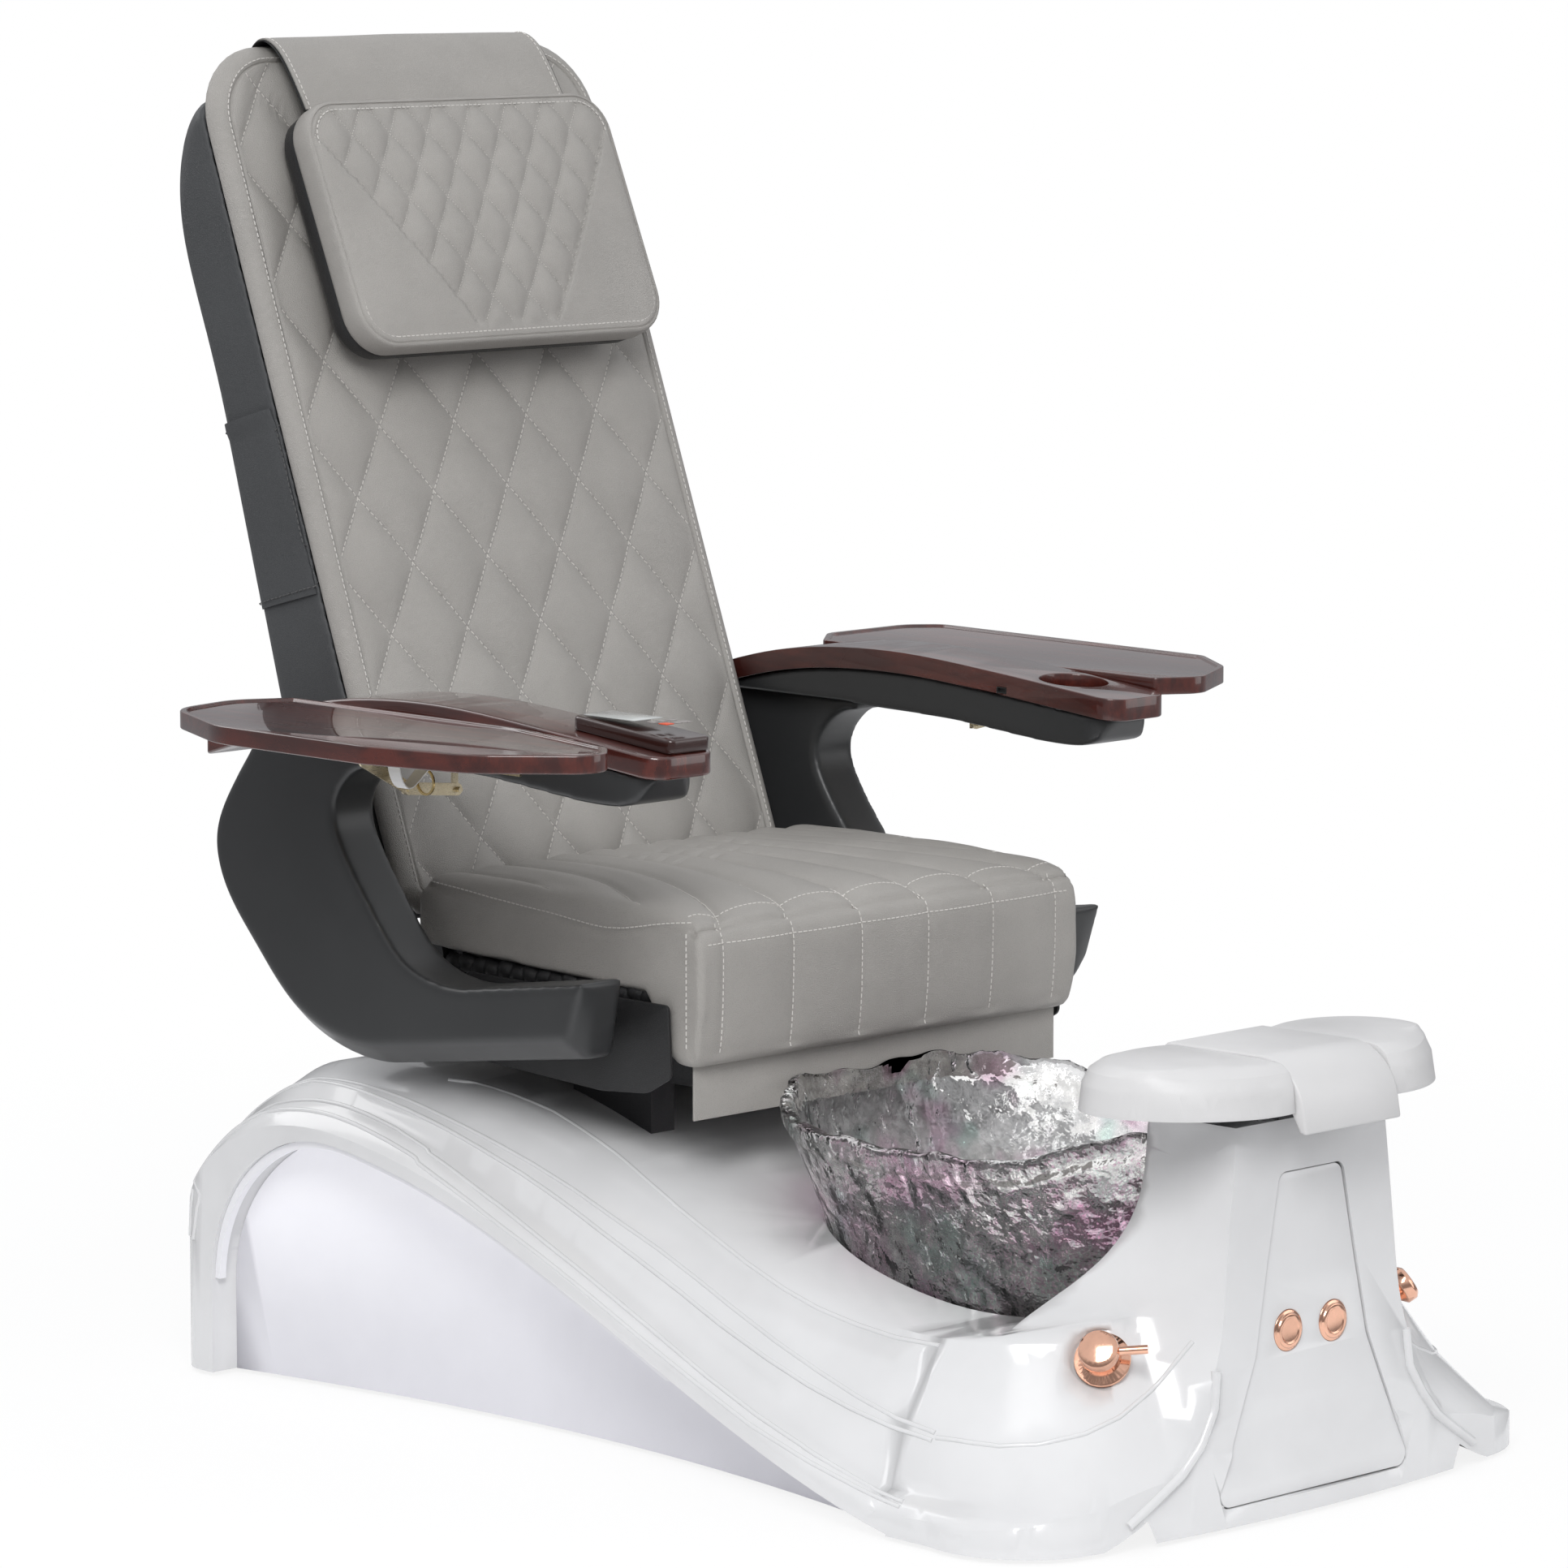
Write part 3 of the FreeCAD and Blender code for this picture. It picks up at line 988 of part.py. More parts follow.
lever = prism(Part.makePolygon([point - V(7, 0, 0) for point in lever_points + lever_points[:1]]), V(14, 0, 0))
lever = lever.fuse(Part.makeCylinder(5, 34, lever_end - V(17, 0, 0), V(1, 0, 0)))
lever_obj = feature("recline_lever", lever)
keep("back_frame", leaned(fuse("back_frame", lever_obj, *(pivot_pins + frame_bars))))

SHELL_REAR = [(98, 52), (97, 134), (85, 257), (80, 322), (71, 450), (60, 610), (57, 690), (58, 770), (50, 864),
              (26, 928), (-12, 962), (-44, 970)]


def shell_wire(level, inset, front):
    """Side outline of the back shell, drawn in at its rear and top."""
    rear = [(y - inset * min(1, (y + 44) / 60), z - inset * (0.8 if z > 900 else 0)) for y, z in SHELL_REAR]
    rear[0] = (rear[0][0], SHELL_REAR[0][1])
    points = [V(level, y, z) for y, z in rear]
    low, high = V(level, front, SHELL_REAR[0][1]), V(level, front, points[-1].z)
    edges = [spline(points), line(points[0], low), line(low, high)]
    if abs(high.y - points[-1].y) > 0.01:
        edges.append(line(high, points[-1]))
    return loop(*edges)


wide = s.shell_half_width
shell_sections = [(-wide, 24), (-wide + 10, 8), (-wide + 30, 0), (wide - 30, 0), (wide - 10, 8), (wide, 24)]
shell_outer = Part.makeLoft([shell_wire(x, inset, -s.back_joint) for x, inset in shell_sections], True, True)
skin = s.shell_skin
inner_sections = [(-wide + skin, 26), (-wide + 34, 9), (wide - 34, 9), (wide - skin, 26)]
shell_inner = Part.makeLoft([shell_wire(x, inset, -s.back_joint - 10) for x, inset in inner_sections], True, True)
shell_inner.translate(V(0, -1, -skin))
under_cut = Part.makeBox(2 * (wide - skin), 200, 70, V(-wide + skin, -s.back_joint - 10, 20))
back_shell = shell_outer.cut(shell_inner).cut(under_cut.common(Part.makeBox(1000, 118, 200, V(-500, -54, 0))))
keep("back_shell", leaned(feature("back_shell", back_shell)))


def pad_section(level, half, face, crown):
    """Cross section of the back cushion: flat behind, round sides, crowned face."""
    rear = -s.back_joint - s.fit_gap
    right, left = V(half - 6, rear, level), V(-half + 6, rear, level)
    side_right, side_left = V(half, rear - 6, level), V(-half, rear - 6, level)
    front_right, front_left = V(half - 22, -face, level), V(-half + 22, -face, level)
    return loop(line(left, right), line(right, side_right),
                arc(side_right, V(half - 9, 2 - face, level), front_right),
                arc(front_right, V(0, -face - crown, level), front_left),
                arc(front_left, V(9 - half, 2 - face, level), side_left), line(side_left, left))


def pad_half(level):
    """Half width of the back cushion at a height, with its round top corners."""
    over = max(level - (s.back_top - s.back_round), 0)
    return s.back_half_width - s.back_round + math.sqrt(max(s.back_round ** 2 - over ** 2, 0))


face = s.back_face - s.back_crown
PAD_PLAIN = (s.back_start + 40, s.back_top - s.back_round)


def pad_loft(levels):
    """End of the back cushion between levels of (height, draw-in of the face, crown)."""
    wires = [pad_section(z, pad_half(min(z, s.back_top - 1)), face - back, crown) for z, back, crown in levels]
    return Part.makeLoft(wires, True, True)


pad_low = pad_loft(((s.back_start, 8, 3), (s.back_start + 8, 2, 5), (PAD_PLAIN[0], 0, s.back_crown)))
pad_high = pad_loft(((PAD_PLAIN[1], 0, s.back_crown), (s.back_top - 50, 0, s.back_crown), (s.back_top - 24, 1, 5),
                     (s.back_top - 8, 5, 4), (s.back_top, 11, 2)))
pad_middle = prism(pad_section(PAD_PLAIN[0], s.back_half_width, face, s.back_crown),
                   V(0, 0, PAD_PLAIN[1] - PAD_PLAIN[0]))


def channel(start, end, half_width, sunk):
    """Wedge that cuts a V channel between two points (X, Z, depth of the face)."""
    first, last = [V(x, -depth, z) for x, z, depth in (start, end)]
    way = last - first
    across = way.cross(V(0, 1, 0)).normalize() * half_width * 2
    lift = V(0, -sunk, 0)
    corners = [first - lift, first + across + lift, first - across + lift]
    return prism(Part.makePolygon(corners + corners[:1]), way)


def clipped(x_offset, slope, x_limits, z_limits):
    """Both ends of the line z = slope * (x - x_offset) inside limits, or None."""
    x_low = max(x_limits[0], min(z / slope + x_offset for z in z_limits))
    x_high = min(x_limits[1], max(z / slope + x_offset for z in z_limits))
    if x_high - x_low < 25:
        return None
    return [(x, slope * (x - x_offset)) for x in (x_low, x_high)]


SEAM = 258
QUILT_LEVEL = 577
slope = s.diamond_height / s.diamond_width
channels = []
for direction in (-1, 1):
    for n in range(-9, 10, 2):
        offset = n * s.diamond_width / 2 - direction * QUILT_LEVEL / slope
        for limits in ((-SEAM, 0), (0, SEAM)):
            run = clipped(offset, direction * slope, limits, (PAD_PLAIN[0] + 6, PAD_PLAIN[1] - 6))
            if run:
                sides = [(x, z, face + s.back_crown * (1 - (x / (s.back_half_width - 22)) ** 2)) for x, z in run]
                channels.append(channel(sides[0], sides[1], 7, 3.5))
pad = pad_middle
for wedge in channels:
    pad = pad.cut(wedge)
pad = pad.fuse([pad_low, pad_high])
keep("back_cushion", leaned(feature("back_cushion", pad)))


def pillow_ring(inset, depth):
    """Rounded outline of the pillow at a depth, drawn in by an inset."""
    half = s.pillow_half_width - inset
    high = s.pillow_high - s.pillow_low
    points = [(-half, -high + inset), (half, -high + inset), (half, -inset), (-half, -inset)]
    return outline(points, 42 - inset * 0.3, "xz", -depth)


depth = s.pillow_depth
pillow = Part.makeLoft([pillow_ring(24, 0), pillow_ring(8, depth * 0.08), pillow_ring(0, depth * 0.35),
                        pillow_ring(2, depth * 0.75), pillow_ring(9, depth * 0.93), pillow_ring(26, depth)], True, True)
pillow_channels = []
FIELD_FOOT = 50
field_low = s.pillow_low - s.pillow_high + 12
field_rise = s.pillow_high - s.pillow_low - 24
pillow_wall = s.pillow_half_width - 14
for direction in (-1, 1):
    for n in range(8):
        foot = FIELD_FOOT - n * s.diamond_width / 2
        rises = (max(0, -(foot + FIELD_FOOT) / 2 * slope), min(field_rise, (pillow_wall - foot) * slope))
        run = [(direction * (foot + rise / slope), field_low + rise, s.pillow_depth) for rise in rises]
        pillow_channels.append(channel(run[0], run[1], 5, 2.5))
for wedge in pillow_channels:
    pillow = pillow.cut(wedge)
pillow_obj = feature("pillow", pillow)
pillow_tilt = FreeCAD.Placement(V(0, 1 - s.back_face, s.pillow_high), FreeCAD.Rotation(V(1, 0, 0), -3))
pillow_obj.Placement = LEAN * pillow_tilt
keep("pillow", pillow_obj)
top = s.back_top
STRAP_STEPS = 28
strap_line = [(-104, s.pillow_high + 3.5), (-94, 972), (-80, top - 12), (-60, top + 5), (-40, top - 1), (-20, top - 28),
              (6, top - 60), (32, top - 86)]
strap_bed = [V(-s.strap_half_width, y, z) for y, z in shifted(strap_line, 1.1)]
strap_inside = spline(strap_bed).discretize(STRAP_STEPS)
strap_outside = [V(-s.strap_half_width, y, z) for y, z in shifted([(point.y, point.z) for point in strap_inside], -2)]
strap_ring = Part.makePolygon(strap_inside + strap_outside[::-1] + strap_inside[:1])
keep("pillow_strap", leaned(feature("pillow_strap", prism(strap_ring, V(2 * s.strap_half_width, 0, 0)))))

# Recline motor under the seat

lever_y = s.pivot_y + s.lever_length * math.sin(math.radians(s.lever_angle))
lever_z = s.pivot_z - s.lever_length * math.cos(math.radians(s.lever_angle))
motor = Part.makeCylinder(15, 236, V(0, 64.3, lever_z), V(0, 1, 0))
motor = motor.fuse(Part.makeBox(48, 60, 44, V(-24, 112, lever_z - 22)))
motor = motor.cut(Part.makeCylinder(9 + s.running_gap, 150, V(0, 160, lever_z), V(0, 1, 0)))
keep("recline_motor", feature("recline_motor", motor))
rod_solid = Part.makeCylinder(9, 190, V(0, 200, lever_z), V(0, 1, 0))
rod_solid = rod_solid.fuse(Part.makeBox(36, 34, 24, V(-18, lever_y - 21, lever_z - 12)))
rod_solid = rod_solid.cut(Part.makeBox(15, 40, 40, V(-7.5, lever_y - 14, lever_z - 20)))
pin_slot = Part.makeBox(60, 10.3, 15.4, V(-30, lever_y - 5.15, lever_z - 7.7))
keep("recline_rod", feature("recline_rod", rod_solid.cut(pin_slot)))

# Massage unit inside the back

massage_rails = []
for side, sign in SIDES:
    channel = box("massage_rail_" + side, ("%d * 150 - 8" % sign, -38, 72), (16, 18, 806))
    track = box("massage_track_" + side, ("%d * 145 - 4" % sign, -34.3, 71), (8, 10.6, 808))
    massage_rails.append(cut("massage_channel_" + side, channel, track))
keep("massage_rails", leaned(group("massage_rails", *massage_rails)))
ROLLER_X, ROLLER_RADIUS, AXLE_DEPTH = 75, 24, -16
carriage = block(-134, 134, -33, -25, 180, 300)
for z0, z1 in ((185, 215), (265, 295)):
    carriage = carriage.fuse(block(-148.7, 148.7, -34, -24, z0, z1))
carriage = carriage.fuse(block(-50, 50, -25.5, 24, 200, 280))
for sign in (-1, 1):
    low, high = sorted((sign * 97, sign * 104))
    carriage = carriage.fuse(block(low, high, -25.5, -6, 228, 252))
    low, high = sorted((sign * 58, sign * 92))
    carriage = carriage.cut(block(low, high, -60, 30, 211, 269))
axle_start = V(-110, AXLE_DEPTH, 240)
carriage = carriage.cut(Part.makeCylinder(5 + s.running_gap, 220, axle_start, V(1, 0, 0)))
keep("massage_carriage", leaned(feature("massage_carriage", carriage)))
rollers = Part.makeCylinder(5, 220, axle_start, V(1, 0, 0))
for sign in (-1, 1):
    profile = [(0, -13), (16, -13), (22, -9), (ROLLER_RADIUS, -4), (ROLLER_RADIUS, 4), (22, 9), (16, 13), (0, 13)]
    corners = [V(sign * ROLLER_X + across, AXLE_DEPTH - radius, 240) for radius, across in profile]
    tread = Part.Face(Part.makePolygon(corners + corners[:1]))
    rollers = rollers.fuse(tread.revolve(V(0, AXLE_DEPTH, 240), V(1, 0, 0), 360))
keep("massage_rollers", leaned(feature("massage_rollers", rollers)))

# Checks, and one file for each sub-part

doc.recompute()
for item in doc.Objects:
    if "Invalid" in item.State or "Error" in item.State:
        raise RuntimeError("failed: " + item.Label)
os.makedirs("parts", exist_ok=True)
for name, item in kept.items():
    if item.Shape.isNull() or not item.Shape.isValid():
        raise RuntimeError("no valid solid: " + name)
for name, item in kept.items():
    item.Shape.exportStep("parts/%s.step" % name)
print("ok", len(kept))
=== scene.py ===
"""Studio scene of a pedicure spa chair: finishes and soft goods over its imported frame."""

import json
import logging
import math
from dataclasses import dataclass
from enum import Enum
from typing import Callable, ClassVar, Iterable, Sequence

import bmesh
import bpy
from mathutils import Matrix, Vector, noise
from mathutils.bvhtree import BVHTree

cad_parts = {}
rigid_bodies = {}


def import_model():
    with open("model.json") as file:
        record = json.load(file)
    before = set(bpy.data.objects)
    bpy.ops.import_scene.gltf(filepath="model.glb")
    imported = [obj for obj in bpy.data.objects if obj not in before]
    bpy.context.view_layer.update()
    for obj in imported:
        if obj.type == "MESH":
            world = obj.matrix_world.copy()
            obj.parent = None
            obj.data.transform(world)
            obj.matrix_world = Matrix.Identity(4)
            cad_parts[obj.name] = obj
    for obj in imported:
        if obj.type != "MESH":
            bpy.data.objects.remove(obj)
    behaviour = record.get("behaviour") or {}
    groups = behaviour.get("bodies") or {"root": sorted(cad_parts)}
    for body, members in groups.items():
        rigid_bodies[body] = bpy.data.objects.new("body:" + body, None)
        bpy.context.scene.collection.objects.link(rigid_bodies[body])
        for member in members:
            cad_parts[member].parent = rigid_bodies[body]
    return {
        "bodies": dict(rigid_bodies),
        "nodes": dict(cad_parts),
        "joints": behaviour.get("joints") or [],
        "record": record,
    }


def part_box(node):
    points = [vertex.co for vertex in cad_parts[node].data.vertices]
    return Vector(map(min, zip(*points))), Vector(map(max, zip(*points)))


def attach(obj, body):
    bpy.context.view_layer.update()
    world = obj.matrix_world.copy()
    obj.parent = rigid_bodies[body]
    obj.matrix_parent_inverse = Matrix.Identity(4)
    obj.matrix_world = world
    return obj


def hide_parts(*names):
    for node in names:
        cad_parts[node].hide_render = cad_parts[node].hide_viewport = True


LOG = logging.getLogger("spa_chair")
Colour = tuple[float, float, float, float]
Point = tuple[float, float, float]

BACK_LEAN = math.radians(20.3)
RECLINE_PIVOT = Vector((0.0, 0.392, 0.468))
LEANED = Matrix.Translation(RECLINE_PIVOT) @ Matrix.Rotation(-BACK_LEAN, 4, "X")
FLAT_ANGLE = math.radians(0.4)
EDGE_ANGLE = math.radians(28.0)
PAD_DIAMOND = (0.108, 0.156)
PILLOW_DIAMOND = (0.054, 0.078)
CAMERA_PLACE = (-5.13505, -5.15988, 1.66213)
CAMERA_LENS = 158.385
CAMERA_DROP = math.radians(7.75)
CAMERA_TURN = math.radians(-44.5)


def eased(value: float) -> float:
    """Hold a share between 0 and 1 and ease it at both ends."""
    share = min(max(value, 0.0), 1.0)
    return share * share * (3 - 2 * share)


def placed(name: str, mesh: bmesh.types.BMesh) -> bpy.types.Object:
    """Make an object of a mesh and add it to the scene.

    Args:
        name: Name of the object and of its mesh.
        mesh: The mesh, freed here.

    Returns:
        The object.
    """
    data = bpy.data.meshes.new(name)
    mesh.to_mesh(data)
    mesh.free()
    made = bpy.data.objects.new(name, data)
    bpy.context.scene.collection.objects.link(made)
    return made


class Side(Enum):
    """The sitter's two sides, with the sign of X on each."""

    RIGHT = -1
    LEFT = 1


class Graph:
    """A node tree that is filled one node at a time."""

    def __init__(self, tree: bpy.types.NodeTree) -> None:
        """Start with an empty tree."""
        self.tree = tree
        tree.nodes.clear()

    def feed(self, socket: bpy.types.NodeSocket, value: object) -> None:
        """Link a socket to an output, or set its constant.

        Args:
            socket: The input.
            value: An output socket, or a number, colour or vector.
        """
        if isinstance(value, bpy.types.NodeSocket):
            self.tree.links.new(value, socket)
        else:
            socket.default_value = value

    def add(self, kind: str, inputs: dict[str, object] | None = None, **settings: object) -> bpy.types.Node:
        """Add a node.

        Args:
            kind: Node type without its Shader prefix, such as "TexNoise".
            inputs: Values or outputs for its named inputs.
            **settings: Properties of the node.

        Returns:
            The new node.
        """
        prefix = "" if kind.startswith("NodeGroup") else "ShaderNode"
        node = self.tree.nodes.new(prefix + kind)
        for name, value in settings.items():
            setattr(node, name, value)
        for key, value in (inputs or {}).items():
            self.feed(node.inputs[key], value)
        return node

    def math(self, operation: str, *values: object) -> bpy.types.NodeSocket:
        """Add a Math node.

        Args:
            operation: Name of the operation.
            *values: Numbers or outputs.

        Returns:
            The result's socket.
        """
        node = self.add("Math", operation=operation)
        for socket, value in zip(node.inputs, values):
            self.feed(socket, value)
        return node.outputs[0]

    def spread(self, value: object, low: float, high: float, out_low: float = 0.0,
               out_high: float = 1.0) -> bpy.types.NodeSocket:
        """Map the range from low to high onto another one, smoothly and clamped."""
        node = self.add("MapRange", {"Value": value, "From Min": low, "From Max": high, "To Min": out_low,
                                     "To Max": out_high}, interpolation_type="SMOOTHSTEP")
        return node.outputs["Result"]

    def mix(self, factor: object, first: object, second: object, blend: str = "MIX") -> bpy.types.NodeSocket:
        """Mix two colours.

        Args:
            factor: Share of the second colour.
            first: Colour or output.
            second: Colour or output.
            blend: Blend mode.

        Returns:
            The mixed colour's socket.
        """
        node = self.add("Mix", data_type="RGBA", blend_type=blend)
        for index, value in ((0, factor), (6, first), (7, second)):
            self.feed(node.inputs[index], value)
        return node.outputs[2]

    def bump(self, height: object, distance: float, strength: float = 1.0) -> bpy.types.NodeSocket:
        """Turn a height from 0 to 1 into a normal, with a relief of the distance in metres."""
        node = self.add("Bump", {"Height": height, "Distance": distance, "Strength": strength})
        return node.outputs["Normal"]

    def place(self) -> bpy.types.NodeSocket:
        """Give the position on the object, in metres."""
        return self.add("TexCoord").outputs["Object"]

    def noise(self, vector: object, scale: float, detail: float = 3.0,
              roughness: float = 0.5) -> bpy.types.NodeSocket:
        """Add a noise texture, scaled in features per metre, and give its factor."""
        node = self.add("TexNoise", {"Vector": vector, "Scale": scale, "Detail": detail,
                                     "Roughness": roughness})
        return node.outputs["Fac"]


class Effect(Enum):
    """Node groups that several finishes share."""

    PEBBLES = "Leather pebbles"
    CLOUDS = "Surface clouds"
    LATTICE = "Quilt lattice"


class Effects:
    """Builds each shared node group once."""

    @staticmethod
    def tree(effect: Effect) -> bpy.types.NodeTree:
        """Give the group of an effect, made on first use.

        Args:
            effect: Which effect.

        Returns:
            The node group.
        """
        found = bpy.data.node_groups.get(effect.value)
        if found:
            return found
        tree = bpy.data.node_groups.new(effect.value, "ShaderNodeTree")
        makers = {
            Effect.PEBBLES: Effects._pebbles,
            Effect.CLOUDS: Effects._clouds,
            Effect.LATTICE: Effects._lattice,
        }
        makers[effect](tree)
        return tree

    @staticmethod
    def _sockets(tree: bpy.types.NodeTree, inputs: dict[str, str], outputs: Sequence[str]) -> None:
        """Make a group's sockets.

        Args:
            tree: The group.
            inputs: Name and socket type of each input.
            outputs: Names of the number outputs.
        """
        for name, kind in inputs.items():
            tree.interface.new_socket(name, in_out="INPUT", socket_type=kind)
        for name in outputs:
            tree.interface.new_socket(name, in_out="OUTPUT", socket_type="NodeSocketFloat")

    @staticmethod
    def _pebbles(tree: bpy.types.NodeTree) -> None:
        """Leather grain: small cells with soft creases between them.

        Args:
            tree: The group to fill.
        """
        Effects._sockets(tree, {"Vector": "NodeSocketVector", "Scale": "NodeSocketFloat"}, ("Height", "Tone"))
        graph = Graph(tree)
        start = tree.nodes.new("NodeGroupInput")
        vector, scale = start.outputs["Vector"], start.outputs["Scale"]
        cells = graph.add("TexVoronoi", {"Vector": vector, "Scale": scale, "Randomness": 1.0},
                          feature="DISTANCE_TO_EDGE")
        crease = graph.spread(cells.outputs["Distance"], 0.0, 0.25)
        fine = graph.noise(vector, 2200.0, 2.0)
        height = graph.math("MULTIPLY_ADD", crease, 0.8, graph.math("MULTIPLY", fine, 0.2))
        tone = graph.noise(vector, 9.0, 5.0, 0.6)
        end = tree.nodes.new("NodeGroupOutput")
        graph.feed(end.inputs["Height"], height)
        graph.feed(end.inputs["Tone"], tone)

    @staticmethod
    def _clouds(tree: bpy.types.NodeTree) -> None:
        """Soft variation for dust, polish and handling marks.

        Args:
            tree: The group to fill.
        """
        Effects._sockets(tree, {"Vector": "NodeSocketVector", "Scale": "NodeSocketFloat"}, ("Wide", "Fine"))
        graph = Graph(tree)
        start = tree.nodes.new("NodeGroupInput")
        wide = graph.add("TexNoise", {"Vector": start.outputs["Vector"], "Scale": start.outputs["Scale"],
                                      "Detail": 4.0, "Roughness": 0.55})
        fine_scale = graph.math("MULTIPLY", start.outputs["Scale"], 14.0)
        fine = graph.add("TexNoise", {"Vector": start.outputs["Vector"], "Scale": fine_scale, "Detail": 2.0})
        end = tree.nodes.new("NodeGroupOutput")
        graph.feed(end.inputs["Wide"], graph.spread(wide.outputs["Fac"], 0.3, 0.7))
        graph.feed(end.inputs["Fine"], fine.outputs["Fac"])

    @staticmethod
    def _lattice(tree: bpy.types.NodeTree) -> None:
        """Painted shade along the sewn lines, and the thread dashes, of a diamond quilt, from coordinates
        counted in half diamonds.

        Args:
            tree: The group to fill.
        """
        Effects._sockets(tree, {"Across": "NodeSocketFloat", "Along": "NodeSocketFloat"}, ("Line", "Thread"))
        graph = Graph(tree)
        start = tree.nodes.new("NodeGroupInput")
        first = graph.math("ADD", start.outputs["Across"], start.outputs["Along"])
        second = graph.math("SUBTRACT", start.outputs["Along"], start.outputs["Across"])
        lines, threads = [], []
        for here, other in ((first, second), (second, first)):
            off = graph.math("ABSOLUTE", graph.math("SUBTRACT", graph.math("PINGPONG", here, 1.0), 1.0))
            # Painted shade: a narrow band beside each sewn line.
            near = graph.spread(off, 0.0, 0.055, 1.0, 0.0)
            seam = graph.spread(off, 0.010, 0.020, 1.0, 0.0)
            dash = graph.math("LESS_THAN", graph.math("FRACT", graph.math("MULTIPLY", other, 6.5)), 0.68)
            lines.append(near)
            threads.append(graph.math("MULTIPLY", seam, dash))
        end = tree.nodes.new("NodeGroupOutput")
        graph.feed(end.inputs["Line"], graph.math("MAXIMUM", *lines))
        graph.feed(end.inputs["Thread"], graph.math("MAXIMUM", *threads))


@dataclass(frozen=True)
class Finish:
    """A finish that becomes one material.

    Attributes:
        name: Name of the material.
        colour: Main colour.
        roughness: Roughness of the bare surface.
    """

    name: str
    colour: Colour
    roughness: float

    def material(self) -> bpy.types.Material:
        """Give the material, made on first use."""
        found = bpy.data.materials.get(self.name)
        if found:
            return found
        made = bpy.data.materials.new(self.name)
        made.use_nodes = True
        graph = Graph(made.node_tree)
        shader = graph.add("BsdfPrincipled", {"Base Color": self.colour, "Roughness": self.roughness})
        end = graph.add("OutputMaterial")
        graph.feed(end.inputs["Surface"], shader.outputs["BSDF"])
        self.dress(graph, shader)
        made.diffuse_color = self.colour
        return made

    def dress(self, graph: Graph, shader: bpy.types.Node) -> None:
        """Add the finish's own nodes to a material's tree, round its Principled BSDF."""
        raise NotImplementedError

    def group(self, graph: Graph, effect: Effect, **inputs: object) -> bpy.types.Node:
        """Place a shared effect in a tree.

        Args:
            graph: The tree.
            effect: Which effect.
            **inputs: Values or outputs for the group's inputs.

        Returns:
            The group node.
        """
        node = graph.tree.nodes.new("ShaderNodeGroup")
        node.node_tree = Effects.tree(effect)
        for key, value in inputs.items():
            graph.feed(node.inputs[key], value)
        return node

    def shade(self, factor: float) -> Colour:
        """Give the main colour with its three channels multiplied by a factor."""
        return tuple(min(channel * factor, 1.0) for channel in self.colour[:3]) + (1.0,)


@dataclass(frozen=True)
class Leather(Finish):
    """Grained upholstery leather.

    Attributes:
        grain: Pebbles per metre.
        relief: Depth of the grain in metres.
        quilt: Width and height of a sewn diamond, or None for plain leather.
    """

    grain: float = 620.0
    relief: float = 0.00035
    quilt: tuple[float, float] | None = None

    def dress(self, graph: Graph, shader: bpy.types.Node) -> None:
        """Add grain, tone, thread, and painted shade in the grain's creases and along the quilt's sewn lines.

        Args:
            graph: The material's tree.
            shader: Its Principled BSDF.
        """
        pebbles = self.group(graph, Effect.PEBBLES, Vector=graph.place(), Scale=self.grain)
        tone = graph.spread(pebbles.outputs["Tone"], 0.3, 0.72)
        colour = graph.mix(tone, self.shade(0.95), self.shade(1.05))
        height = pebbles.outputs["Height"]
        # Painted shade: the base colour is darkened in the grain's creases.
        colour = graph.mix(graph.spread(height, 0.1, 0.5, 0.22, 0.0), colour, self.shade(0.5))
        normal = graph.bump(height, self.relief)
        if self.quilt:
            uv = graph.add("UVMap", uv_map="quilt")
            parts = graph.add("SeparateXYZ", {"Vector": uv.outputs["UV"]})
            across = graph.math("DIVIDE", parts.outputs["X"], self.quilt[0] / 2)
            along = graph.math("DIVIDE", parts.outputs["Y"], self.quilt[1] / 2)
            lattice = self.group(graph, Effect.LATTICE, Across=across, Along=along)
            field = graph.add("Attribute", attribute_name="field").outputs["Fac"]
            # Painted shade: a dark band along each sewn line of the quilt, where the puffs dip.
            seam = graph.math("MULTIPLY", lattice.outputs["Line"], graph.math("MULTIPLY", field, 0.42))
            colour = graph.mix(seam, colour, self.shade(0.42))
            thread = graph.math("MULTIPLY", lattice.outputs["Thread"], field)
            colour = graph.mix(thread, colour, self.shade(1.55))
        graph.feed(shader.inputs["Base Color"], colour)
        graph.feed(shader.inputs["Roughness"], graph.spread(pebbles.outputs["Tone"], 0.25, 0.75,
                                                            self.roughness - 0.05, self.roughness + 0.07))
        graph.feed(shader.inputs["Normal"], normal)
        shader.inputs["Specular IOR Level"].default_value = 0.45


@dataclass(frozen=True)
class Moulded(Finish):
    """Moulded plastic, gel coat or foam skin.

    Attributes:
        coat: Weight of a clear top layer.
        texture: Texture cells per metre.
        relief: Depth of the texture in metres.
    """

    coat: float = 0.0
    texture: float = 900.0
    relief: float = 0.00006

    def dress(self, graph: Graph, shader: bpy.types.Node) -> None:
        """Add a fine skin and faint dust.

        Args:
            graph: The material's tree.
            shader: Its Principled BSDF.
        """
        place = graph.place()
        clouds = self.group(graph, Effect.CLOUDS, Vector=place, Scale=7.0)
        colour = graph.mix(clouds.outputs["Wide"], self.shade(0.965), self.shade(1.02))
        graph.feed(shader.inputs["Base Color"], colour)
        rough = graph.spread(clouds.outputs["Wide"], 0.0, 1.0, self.roughness * 0.9, self.roughness * 1.15)
        graph.feed(shader.inputs["Roughness"], rough)
        graph.feed(shader.inputs["Normal"], graph.bump(graph.noise(place, self.texture, 2.0), self.relief))
        shader.inputs["Coat Weight"].default_value = self.coat
        shader.inputs["Coat Roughness"].default_value = 0.06


